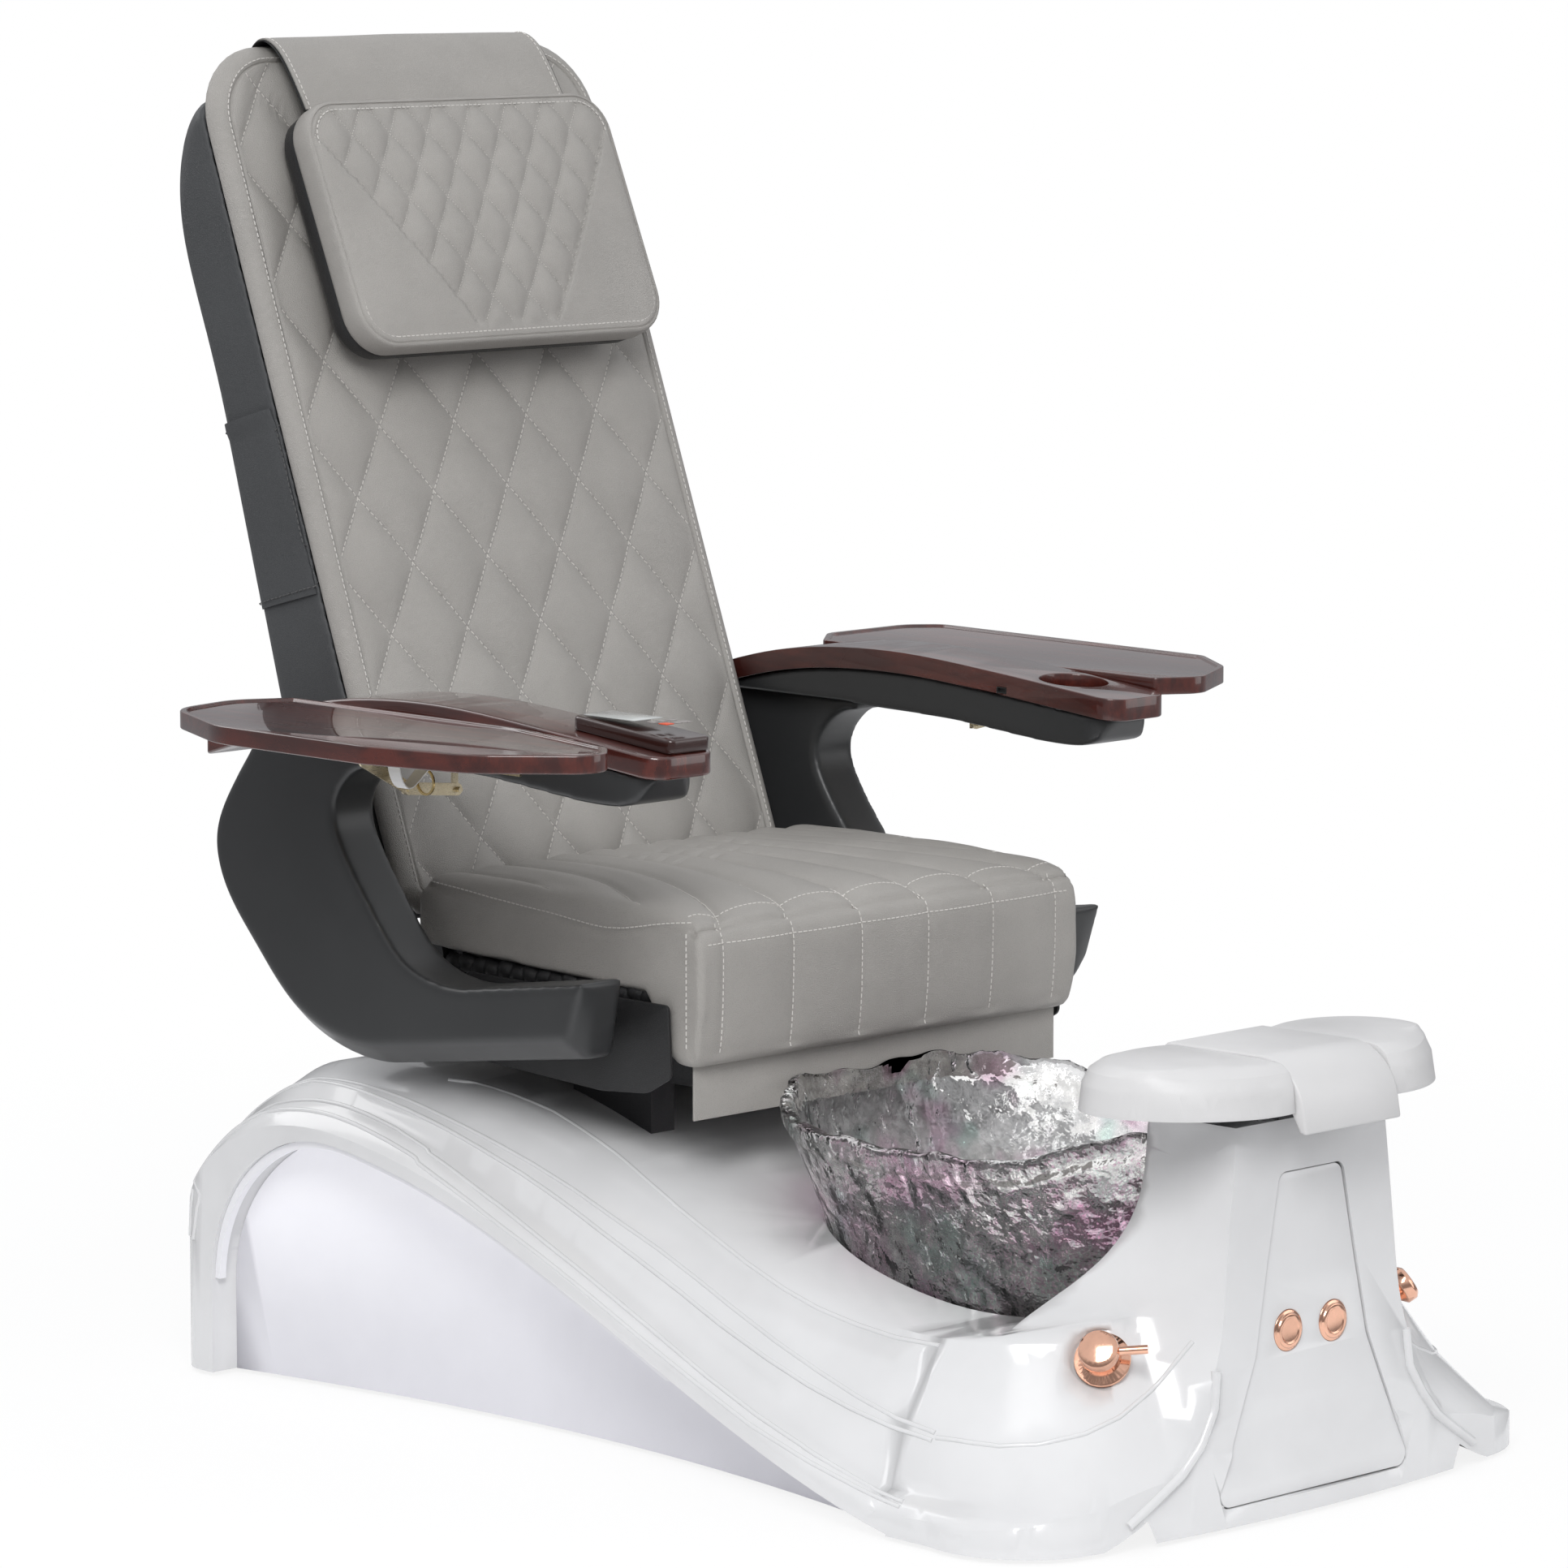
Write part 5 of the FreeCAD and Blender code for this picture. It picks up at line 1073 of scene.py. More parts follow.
class BackRest(Maker):
    """The quilted back pad, the pillow, the strap over the top and the leather shell behind."""

    SEAM_DEPTH = -0.0620
    PAD_RINGS = (
        (0.0008, -0.0606), (0.0020, -0.0604), (0.0030, -0.0622), (0.0060, -0.0630), (0.0100, -0.0622),
        (0.0160, -0.0590), (0.0205, -0.0550), (0.0235, -0.0505), (0.0240, -0.0470), (0.0232, -0.0443))
    PILLOW_RINGS = (
        (0.0006, -0.0638), (0.0014, -0.0636), (0.0022, -0.0650), (0.0042, -0.0646), (0.0058, -0.0620),
        (0.0068, -0.0560), (0.0072, -0.0480), (0.0070, -0.0410), (0.0060, -0.0370), (0.0040, -0.0355))
    LINING_RINGS = (
        (0.0035, -0.0350), (0.0050, -0.0320), (0.0035, -0.0180), (-0.0060, -0.0050), (-0.0160, -0.0004))
    STRAP_LINE = (
        (-0.104, 0.9285), (-0.094, 0.972), (-0.0815, 1.006), (-0.062, 1.0235), (-0.040, 1.018),
        (-0.020, 0.991), (0.006, 0.959), (0.032, 0.933))
    STRAP_SEAM = 0.187
    POCKET_CORNERS = ((-0.040, 0.402), (-0.040, 0.612), (0.044, 0.618), (0.060, 0.412))
    POCKET_SEAMS = (
        ((-0.041, 0.604), (0.055, 0.610)), ((-0.041, 0.410), (0.066, 0.419)),
        ((-0.041, 0.410), (-0.041, 0.604)))

    def build(self) -> None:
        """Make every piece."""
        self._pad()
        self._pillow()
        self._strap()
        self._shell()

    def _pad(self) -> None:
        """The back pad: a face of large diamonds, a hem and a gusset."""
        panel = Panel(0.262, 0.062, 0.996, 0.0, 0.068)
        quilt = Quilt(*PAD_DIAMOND, 0.577, 0.0105, lambda across, rise: abs(across) < 0.2605)

        def depth(across: float, rise: float) -> float:
            """Depth of the face, with its crown and the seam's pull."""
            edge = min(panel.reach(rise) - abs(across), panel.high - rise)
            pull = 1 - math.exp(-max(edge, 0.0) / 0.010)
            crown = 0.006 * (1 - (across / panel.half) ** 2)
            wrinkle = 0.0005 * noise.noise(Vector((across * 22, rise * 22, 3.0)))
            return self.SEAM_DEPTH - crown - (quilt.swell(across, rise) - 0.0040) * pull - wrinkle

        pad = SewnPad(panel, LEANED, depth)
        made = self.shop.piece("back_pad", pad.build(0.0031, self.PAD_RINGS, quilt), QUILTED_LEATHER,
                               "back", "back_leather", ("back_cushion",), 70.0)
        thread = self.shop.stitches(pad.path(0.0062, -0.0634)[41:-1])
        self.shop.piece("back_pad_stitches", thread, PALE_THREAD, "back", "back_leather")

    def _pillow(self) -> None:
        """The pillow: small diamonds in a V, a hem and a plain border."""
        place = LEANED @ Matrix.Translation((0.0, -0.067, 0.925)) @ Matrix.Rotation(math.radians(-3), 4, "X")
        low = -0.280
        panel = Panel(0.2185, low, -0.005, 0.040, 0.040)

        def inside(across: float, rise: float) -> bool:
            """Whether a point lies in the V."""
            return abs(across) < 0.050 + (rise - low) / 1.444 and rise > low + 0.016

        quilt = Quilt(*PILLOW_DIAMOND, low - 0.1112 + PILLOW_DIAMOND[1], 0.0075, inside)

        def depth(across: float, rise: float) -> float:
            """Depth of the face, with its crown and the seam's pull."""
            edge = min(panel.reach(rise) - abs(across), panel.high - rise, rise - panel.low)
            pull = 1 - math.exp(-max(edge, 0.0) / 0.009)
            part = (1 - (across / panel.half) ** 2) * (1 - ((rise + 0.1425) / 0.1255) ** 2)
            return -0.0650 - 0.0075 * max(part, 0.0) ** 0.7 - (quilt.swell(across, rise) - 0.0030) * pull

        pad = SewnPad(panel, place, depth)
        made = self.shop.piece("pillow_pad", pad.build(0.0030, self.PILLOW_RINGS, quilt), PILLOW_LEATHER,
                               "back", "back_leather", ("pillow",), 70.0)
        lining = SewnPad(panel, place, lambda across, rise: -0.0350)
        under = lining.build(0.012, self.LINING_RINGS, None)
        made = self.shop.piece("pillow_lining", under, BLACK_LEATHER, "back", "back_leather", (), 60.0)
        thread = self.shop.stitches(pad.path(-0.0052, -0.0662), 0.0066, 0.0042)
        self.shop.piece("pillow_stitches", thread, PALE_THREAD, "back", "back_leather")

    def _strap(self) -> None:
        """The wide strap from the pillow over the top of the back, grey outside and black inside."""
        course = self.bent(self.STRAP_LINE, 40)
        ends = [course[0], *course, course[-1]]
        ways = [Vector((after[0] - before[0], after[1] - before[1])).normalized()
                for before, after in zip(ends, ends[2:])]

        def above(n: int, across: float, lift: float) -> Vector:
            """A point of the strap's course, raised off the back."""
            depth, rise = course[n]
            return LEANED @ Vector((across, depth - ways[n].y * lift, rise + ways[n].x * lift))

        for name, half, lift, thick, finish in (("strap_outside", 0.1925, 0.0026, 0.0016, GREY_LEATHER),
                                                ("strap_lining", 0.1950, 0.0009, 0.0014, BLACK_LEATHER)):
            rows = []
            for n in range(len(course)):
                row = []
                for k in range(61):
                    across = half * (k / 30 - 1)
                    wave = 0.0011 * noise.noise(Vector((across * 9, n * 0.09, 7.0)))
                    wave += 0.0012 * math.cos(across * 14)
                    row.append(above(n, across, lift + wave))
                rows.append(row)
            replaced = ("pillow_strap",) if name == "strap_outside" else ()
            made = self.shop.piece(name, self.shop.thickened(rows, thick), finish, "back", "strap_grey",
                                   replaced, 50.0)
        lift = 0.0031 + 0.0012 * math.cos(self.STRAP_SEAM * 14)
        for side in Side:
            points = [above(n, side.value * self.STRAP_SEAM, lift) for n in range(len(course))]
            self.shop.piece("strap_stitches_" + side.name.lower(), self.shop.stitches(points), PALE_THREAD,
                            "back", "strap_grey")

    @staticmethod
    def bent(points: Sequence[tuple[float, float]], steps: int) -> list[tuple[float, float]]:
        """Draw a smooth curve through points.

        Args:
            points: Points in a plane.
            steps: Points of the curve.

        Returns:
            The curve's points.
        """
        found = []
        last = len(points) - 1
        for n in range(steps + 1):
            at = n / steps * last
            k = min(int(at), last - 1)
            part = at - k
            a, b, c, d = (points[min(max(k + shift, 0), last)] for shift in (-1, 0, 1, 2))
            found.append(tuple(
                0.5 * (2 * q + (r - p) * part + (2 * p - 5 * q + 4 * r - s) * part ** 2
                       + (3 * q - p - 3 * r + s) * part ** 3) for p, q, r, s in zip(a, b, c, d)))
        return found

    def _shell(self) -> None:
        """The charcoal shell, its stitched side pockets and the seams round them."""
        soft = self.shop.stuffed(self.shop.node_mesh("back_shell"), 0.006, 6)
        tree = BVHTree.FromBMesh(soft)
        made = self.shop.piece("back_cover", soft, CHARCOAL_LEATHER, "back", "back_black",
                               ("back_shell",), 60.0)
        for side in Side:
            self._pocket(side, tree)

    def _pocket(self, side: Side, tree: BVHTree) -> None:
        """A flat pocket on a side of the shell.

        Args:
            side: Which side.
            tree: Search tree of the shell.
        """

        def laid(spot: Vector, lift: float) -> Vector:
            """A point on the shell's side, raised a little."""
            start = LEANED @ Vector((side.value * 0.4, spot.x, spot.y))
            hit = tree.ray_cast(start, Vector((-side.value, 0.0, 0.0)), 0.16)[0]
            found = hit or Vector((side.value * 0.262, start.y, start.z))
            return found + Vector((side.value * lift, 0.0, 0.0))

        low_rear, high_rear, high_front, low_front = (Vector(corner) for corner in self.POCKET_CORNERS)
        rows = []
        for n in range(25):
            part = n / 24
            row = []
            for k in range(15):
                way = k / 14
                spot = low_rear.lerp(low_front, way).lerp(high_rear.lerp(high_front, way), part)
                bulge = 0.0035 * math.sin(math.pi * way) ** 0.5 * (0.4 + 0.6 * part) + 0.0022 * (part > 0.93)
                row.append(laid(spot, 0.0024 + bulge))
            rows.append(row)
        name = side.name.lower()
        made = self.shop.piece("pocket_" + name, self.shop.thickened(rows, 0.0022), CHARCOAL_LEATHER,
                               "back", "back_black", (), 50.0)
        seams = []
        for first, last in self.POCKET_SEAMS:
            points = [laid(Vector(first).lerp(Vector(last), n / 12), 0.0050) for n in range(13)]
            seams.append(self.shop.stitches(points))
        self.shop.piece("pocket_stitches_" + name, self.shop.joined(seams), DARK_THREAD, "back", "back_black")


class Seat(Maker):
    """The soft seat with its sewn channels, and the skirts below it."""

    FRONT, REAR, HALF = -0.098, 0.336, 0.277
    HALF_BLOCK = 0.285
    CROWN, FRONT_BULGE, SIDE_BULGE = 0.012, 0.004, 0.005
    SEAM_DEPTH, SEAM_REACH = 0.0042, 0.0042
    VALLEY_DEPTH, VALLEY_REACH = 0.0052, 0.022
    HEM_DEPTH, HEM_REACH = 0.0042, 0.28
    SIDE_SEAM_DEPTH, SIDE_SEAM_REACH, SIDE_SEAM_SETBACK = 0.0030, 0.0035, 0.012
    SIDE_WRINKLE, WRINKLE = 0.0016, 0.0007
    SIDE_SLACK = 0.003
    TUCK_DEPTH, TUCK_REACH, TUCK_HALF, TUCK_LIMIT = 0.0030, 0.0035, 0.02, 0.014
    TUCK_START, TUCK_PITCH, TUCK_ROWS = 0.150, 0.030, 4
    ABOVE, BEFORE, BESIDE = 0.70, -0.3, 0.4
    THREAD_HALF = 0.270
    TUCK_MIDDLES = (-0.077, -0.026, 0.026, 0.077)
    SIDE_OUTLINE = (
        (0.336, 0.492), (0.338, 0.552), (0.320, 0.570), (0.150, 0.573), (0.0, 0.571), (-0.060, 0.568),
        (-0.094, 0.560), (-0.103, 0.540), (-0.102, 0.470), (-0.098, 0.425), (-0.092, 0.408),
        (-0.060, 0.408), (-0.034, 0.430), (-0.026, 0.478), (0.0, 0.479))
    CHANNELS = (-0.470, -0.350, -0.250, -0.150, -0.050, 0.050, 0.150, 0.250, 0.350, 0.470)

    def build(self) -> None:
        """Make every piece."""
        body = self._stuffed()
        self._carve(body)
        tree = BVHTree.FromBMesh(body)
        made = self.shop.piece("seat_pad", body, GREY_LEATHER, "seat", "seat_leather",
                               ("seat_cushion",), 70.0)
        self._thread(tree)
        self._skirts()

    def _stuffed(self) -> bmesh.types.BMesh:
        """The seat's body: its side outline pushed across, rounded by even faces and smoothing."""
        block = bmesh.new()
        near = [block.verts.new((-self.HALF_BLOCK, y, z)) for y, z in self.SIDE_OUTLINE]
        far = [block.verts.new((self.HALF_BLOCK, y, z)) for y, z in self.SIDE_OUTLINE]
        block.faces.new(near)
        block.faces.new(far[::-1])
        for n in range(len(near)):
            after = (n + 1) % len(near)
            block.faces.new((near[n], near[after], far[after], far[n]))
        bmesh.ops.recalc_face_normals(block, faces=block.faces)
        return self.shop.stuffed(block, 0.0045, 26)

    def channel(self, start: float, along: float) -> float:
        """Give the X of a sewn channel, from its X on the front face and the distance behind the front."""
        back = min(max(along / 0.42, 0.0), 1.0)
        return start * (1 - 0.5 * (1 - (1 - back) ** 2.2))

    def side_seam(self, along: float) -> float:
        """Give the height of the wavy seam on the seat's sides at a Y."""
        part = (along - self.FRONT) / (self.REAR - self.FRONT)
        return 0.5525 + 0.006 * math.cos(part * 5.6 + 0.4) - 0.010 * math.exp(-((part - 0.30) / 0.16) ** 2)

    def _carve(self, body: bmesh.types.BMesh) -> None:
        """Crown the seat and press its seams in.

        Args:
            body: The stuffed body.
        """
        body.normal_update()
        moves = []
        for vertex in body.verts:
            x, y, z = vertex.co
            facing = vertex.normal
            move = Vector((0.0, 0.0, 0.0))
            crown = max(0.0, 1 - (x / self.HALF) ** 2) * max(0.0, 1 - ((y - 0.12) / 0.235) ** 2)
            upward = max(facing.z, 0.0)
            frontal = max(-facing.y, 0.0)
            sideways = abs(facing.x)
            if z > 0.50:
                move.z += self.CROWN * crown ** 0.6 * upward
            if y < 0.0:
                move.y -= self.FRONT_BULGE * max(0.0, 1 - (x / self.HALF) ** 2) * frontal
            nearest = min(abs(x - self.channel(start, y - self.FRONT)) for start in self.CHANNELS)
            open_face = max(upward, frontal) if z > 0.42 else 0.0
            share = 0.45 if frontal > upward else 1.0
            narrow = self.SEAM_DEPTH * math.exp(-(nearest / self.SEAM_REACH) ** 2)
            wide = self.VALLEY_DEPTH * math.exp(-(nearest / self.VALLEY_REACH) ** 2)
            press = share * (narrow + wide)
            fade = 1.0 if frontal > 0.5 else min(1.0, max(0.0, (0.2785 - abs(x)) / 0.03))
            move -= facing * press * open_face * fade
            if frontal > 0.2 and upward > 0.2:
                move -= facing * self.HEM_DEPTH * math.exp(-((upward - frontal) / self.HEM_REACH) ** 2)
            if sideways > 0.3:
                seam = abs(y - self.FRONT - self.SIDE_SEAM_SETBACK)
                if y > self.FRONT + self.SIDE_SEAM_SETBACK:
                    seam = abs(z - self.side_seam(y))
                pull = math.exp(-(seam / self.SIDE_SEAM_REACH) ** 2)
                move -= facing * self.SIDE_SEAM_DEPTH * pull * sideways
                low = 0.484 if y > -0.02 else 0.412
                part = (z - low) / (self.side_seam(y) - low)
                if 0 < part < 1:
                    move += facing * self.SIDE_BULGE * math.sin(math.pi * part) * sideways
                    crease = noise.noise(Vector((y * 16, z * 40, x)))
                    move += facing * self.SIDE_WRINKLE * crease * sideways
            tuck = self._tucks(x, y) * upward
            move -= facing * tuck
            move += facing * self.WRINKLE * noise.noise(Vector((x * 14, y * 14, z * 14)))
            moves.append(move)
        for vertex, move in zip(body.verts, moves):
            vertex.co += move
        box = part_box("seat_cushion")
        for vertex in body.verts:
            vertex.co.x = max(vertex.co.x, box[0][0] - self.SIDE_SLACK)
            vertex.co.x = min(vertex.co.x, box[1][0] + self.SIDE_SLACK)

    @staticmethod
    def _tucks(x: float, y: float) -> float:
        """Give the depth of the small gathers in the middle of the seat.

        Args:
            x: Place across the seat.
            y: Place along the seat.

        Returns:
            The depth there.
        """
        depth = 0.0
        for middle in Seat.TUCK_MIDDLES:
            for n in range(Seat.TUCK_ROWS):
                along = Seat.TUCK_START + n * Seat.TUCK_PITCH
                if abs(x - middle) < Seat.TUCK_HALF and abs(y - along) < Seat.TUCK_LIMIT:
                    fade = 1 - (abs(x - middle) / Seat.TUCK_HALF) ** 2
                    depth += Seat.TUCK_DEPTH * math.exp(-((y - along) / Seat.TUCK_REACH) ** 2) * fade
        return depth

    def _thread(self, tree: BVHTree) -> None:
        """Lay stitches along every seam.

        Args:
            tree: Search tree of the seat's body.
        """

        def down(x: float, y: float) -> Vector | None:
            """The seat's top at a place."""
            return tree.ray_cast(Vector((x, y, self.ABOVE)), Vector((0.0, 0.0, -1.0)))[0]

        def front(x: float, z: float) -> Vector | None:
            """The seat's front face at a place."""
            return tree.ray_cast(Vector((x, self.BEFORE, z)), Vector((0.0, 1.0, 0.0)))[0]

        def flank(side: Side, y: float, z: float) -> Vector | None:
            """The seat's side face at a place."""
            start = Vector((side.value * self.BESIDE, y, z))
            return tree.ray_cast(start, Vector((-side.value, 0.0, 0.0)))[0]

        def lifted(hits: Iterable[Vector | None], shift: Point) -> list[Vector]:
            """The places that were hit, moved off the leather."""
            return [hit + Vector(shift) for hit in hits if hit]

        lines: list[list[Vector]] = []
        for start in self.CHANNELS:
            places = [self.FRONT + 0.010 + 0.415 * n / 60 for n in range(61)]
            spots = [(self.channel(start, y - self.FRONT), y) for y in places]
            lines.append(lifted((down(x, y) for x, y in spots if abs(x) < self.THREAD_HALF), (0.0, 0.0, 0.0003)))
            if abs(start) < self.THREAD_HALF:
                hits = (front(start, 0.556 - 0.136 * n / 40) for n in range(41))
                lines.append(lifted(hits, (0.0, -0.0003, 0.0)))
        across = [-self.THREAD_HALF + 2 * self.THREAD_HALF * n / 80 for n in range(81)]
        lines.append(lifted((down(x, self.FRONT + 0.004 + 0.0240) for x in across), (0.0, -0.0002, 0.0002)))
        lines.append(lifted((front(x, 0.562 - 0.0230) for x in across), (0.0, -0.0002, 0.0002)))
        for side in Side:
            shift = (side.value * 0.0003, 0.0, 0.0)
            along = [0.325 - 0.405 * n / 80 for n in range(81)]
            lines.append(lifted((flank(side, y, self.side_seam(y) + 0.0045) for y in along), shift))
            edge = (flank(side, self.FRONT + 0.018, 0.548 - 0.120 * n / 30) for n in range(31))
            lines.append(lifted(edge, shift))
        sewn = self.shop.joined(self.shop.stitches(line, 0.0068, 0.0043) for line in lines if len(line) > 1)
        self.shop.piece("seat_stitches", sewn, PALE_THREAD, "seat", "seat_leather")

    def _skirts(self) -> None:
        """The grey skirt in front, the black ones at the sides, with their seams."""
        self.shop.refined("front_skirt", 0.0006)
        self.shop.refined("side_skirts", 0.0008)
        for side in Side:
            row = []
            for n in range(95):
                y = 0.300 - 0.004 * n
                row.append(Vector((side.value * (0.2700 + 0.0020 * math.sin(y * 310)), y,
                                   0.4765 + 0.0018 * math.sin(y * 190))))
            made = self.shop.piece("seat_ruffle_" + side.name.lower(), self.shop.tube("ruffle", row, 0.0105),
                                   BLACK_LEATHER, "seat", "skirt_black", (), 70.0)


Trail = tuple[tuple[float, ...], ...]


@dataclass(frozen=True)
class Rib:
    """A raised line on the base, or the two raised edges of a band.

    Attributes:
        trail: Points on the right side; those of a band also give its half width.
        radius: Radius of a raised line.
    """

    STEP: ClassVar[float] = 0.0015
    KEPT: ClassVar[int] = 5

    trail: Trail
    radius: float = 0.0026

    def edges(self) -> tuple[int, ...]:
        """Give the sides of the band that carry a line, or the middle."""
        return (-1, 1) if len(self.trail[0]) > 3 else (0,)

    def samples(self, side: Side) -> list[tuple[Vector, float]]:
        """Give close points along the middle.

        Args:
            side: Side of the base.

        Returns:
            Points with their half widths.
        """
        found = []
        for first, last in zip(self.trail, self.trail[1:]):
            steps = max(1, round(math.dist(first[:3], last[:3]) / self.STEP))
            for n in range(steps):
                x, y, z, *half = (a + (b - a) * n / steps for a, b in zip(first, last))
                found.append((Vector((-side.value * x, y, z)), half[0] if half else 0.0))
        return found[::self.KEPT]


class Base(Maker):
    """The moulded base with its rib lines, the lit arches and the glass bowl."""

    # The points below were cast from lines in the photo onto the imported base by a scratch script.
    RIBS = (
        Rib((
            (-0.386, 0.570, 0.150, 0.006), (-0.383, 0.556, 0.225, 0.007), (-0.379, 0.520, 0.280, 0.008),
            (-0.375, 0.478, 0.308, 0.009), (-0.3755, 0.410, 0.3195, 0.010),
            (-0.3755, 0.368, 0.3190, 0.010), (-0.3770, 0.324, 0.3150, 0.010),
            (-0.3785, 0.278, 0.3048, 0.010), (-0.3815, 0.233, 0.2935, 0.009),
            (-0.3845, 0.188, 0.2790, 0.009), (-0.3875, 0.139, 0.2620, 0.008),
            (-0.3885, 0.088, 0.2425, 0.008), (-0.3890, 0.0246, 0.2180, 0.007),
            (-0.3890, -0.037, 0.1930, 0.007), (-0.3895, -0.129, 0.1540, 0.007),
            (-0.3900, -0.212, 0.1190, 0.006), (-0.3900, -0.287, 0.0900, 0.006),
            (-0.3870, -0.368, 0.0640, 0.005), (-0.3850, -0.438, 0.0470, 0.004),
            (-0.3870, -0.500, 0.0370, 0.003))),
        Rib((
            (-0.360, 0.566, 0.210, 0.003), (-0.352, 0.540, 0.270, 0.003), (-0.345, 0.500, 0.314, 0.003),
            (-0.3395, 0.447, 0.3370, 0.003), (-0.3450, 0.390, 0.3415, 0.004),
            (-0.3470, 0.350, 0.3400, 0.005), (-0.3485, 0.290, 0.3335, 0.006),
            (-0.3500, 0.217, 0.3205, 0.006), (-0.3495, 0.156, 0.3060, 0.007),
            (-0.3480, 0.095, 0.2890, 0.008), (-0.3470, 0.033, 0.2690, 0.009),
            (-0.3470, -0.028, 0.2460, 0.010), (-0.3465, -0.088, 0.2240, 0.011),
            (-0.3470, -0.145, 0.2020, 0.011), (-0.3485, -0.206, 0.1770, 0.011),
            (-0.3500, -0.272, 0.1530, 0.010), (-0.3510, -0.333, 0.1340, 0.009),
            (-0.3520, -0.392, 0.1190, 0.007), (-0.3520, -0.450, 0.1075, 0.005),
            (-0.3490, -0.505, 0.1010, 0.004))),
        Rib((
            (-0.3490, -0.505, 0.1010), (-0.3387, -0.5462, 0.1010), (-0.3271, -0.5706, 0.0999),
            (-0.3022, -0.5997, 0.1023), (-0.2639, -0.6251, 0.1107), (-0.2261, -0.6379, 0.1240),
            (-0.1834, -0.6420, 0.1457), (-0.1597, -0.6549, 0.1753), (-0.1476, -0.6654, 0.1948))),
        Rib((
            (-0.3044, 0.266, 0.3563), (-0.2950, 0.216, 0.3542), (-0.2877, 0.173, 0.3472),
            (-0.2801, 0.126, 0.3364), (-0.2818, 0.078, 0.3227), (-0.2849, 0.025, 0.3058),
            (-0.2947, -0.034, 0.2852), (-0.3013, -0.082, 0.2672), (-0.3039, -0.141, 0.2442),
            (-0.3064, -0.192, 0.2248), (-0.3081, -0.250, 0.2058), (-0.3081, -0.297, 0.1938),
            (-0.3067, -0.351, 0.1852), (-0.3059, -0.406, 0.1802), (-0.3041, -0.468, 0.1813))),
        Rib((
            (-0.1438, -0.6917, 0.1655), (-0.1485, -0.6929, 0.1271), (-0.1687, -0.6942, 0.0945),
            (-0.1942, -0.6917, 0.0688), (-0.2277, -0.6878, 0.0476), (-0.2644, -0.6828, 0.0253)), 0.0055),
    )
    INSET = 0.0008
    BOWL_Y = -0.3235
    BOWL_FLOOR = 0.08
    BOWL_FRONT_OF_SEAT = -0.0815
    REAR_FILL, REAR_START, REAR_RUN = 0.020, 0.40, 0.18
    FLARE, CORNER_FLARE, REAR_FLARE = 0.016, 0.012, 0.006
    RIM_RISE, CORNER_RISE, REAR_RISE = 0.004, 0.010, 0.006
    RIM_START, RIM_RUN = 0.225, 0.125
    HAMMERED = 0.0014

    def build(self) -> None:
        """Make every piece."""
        self._shell()
        self._lights()
        self._bowl()

    def _shell(self) -> None:
        """The shell, and the raised lines that run along it."""
        shell = self.shop.node_mesh("base_shell")
        tree = BVHTree.FromBMesh(shell)
        bmesh.ops.dissolve_limit(shell, angle_limit=FLAT_ANGLE, verts=shell.verts, edges=shell.edges)
        for vertex in shell.verts:
            vertex.co = self.stretched(vertex.co)
        self.shop.piece("base_moulding", shell, WHITE_GEL, "root", "white_shell", ("base_shell",), 42.0)
        lines = []
        for rib in self.RIBS:
            for side in Side:
                for edge in rib.edges():
                    lines.append(self.shop.tube("rib", self._row(rib.samples(side), edge, tree), rib.radius))
        self.shop.piece("base_lines", self.shop.joined(lines), WHITE_GEL, "root", "white_shell", (), 60.0)

    def _row(self, samples: list[tuple[Vector, float]], edge: int, tree: BVHTree) -> list[Vector]:
        """Lay one line of a rib on the shell.

        Args:
            samples: Points along the rib's middle with their half widths.
            edge: Side of the band that the line runs on, or 0 for the middle.
            tree: Search tree of the shell.

        Returns:
            The line's points.
        """
        row = []
        for n, (point, half) in enumerate(samples):
            ahead = samples[min(n + 1, len(samples) - 1)][0] - samples[max(n - 1, 0)][0]
            spot, facing = tree.find_nearest(point)[:2]
            across = facing.cross(ahead).normalized() * (half * edge)
            spot, facing = tree.find_nearest(spot + across)[:2]
            row.append(self.stretched(spot - facing * self.INSET))
        return row

    @staticmethod
    def stretched(spot: Vector) -> Vector:
        """Give a point's place with the base's rear corners filled out a little."""
        return spot + Vector((0.0, Base.REAR_FILL * eased((spot.y - Base.REAR_START) / Base.REAR_RUN), 0.0))

    def _lights(self) -> None:
        """The two curved panels under the arches and the strips above them."""
        for node, finish in (("side_panels", LIT_PANEL), ("light_strips", LIT_STRIP)):
            copy = self.shop.node_mesh(node)
            for vertex in copy.verts:
                vertex.co = self.stretched(vertex.co)
            self.shop.piece(node + "_finished", copy, finish, "root", self.shop.slot_of[node], (node,))

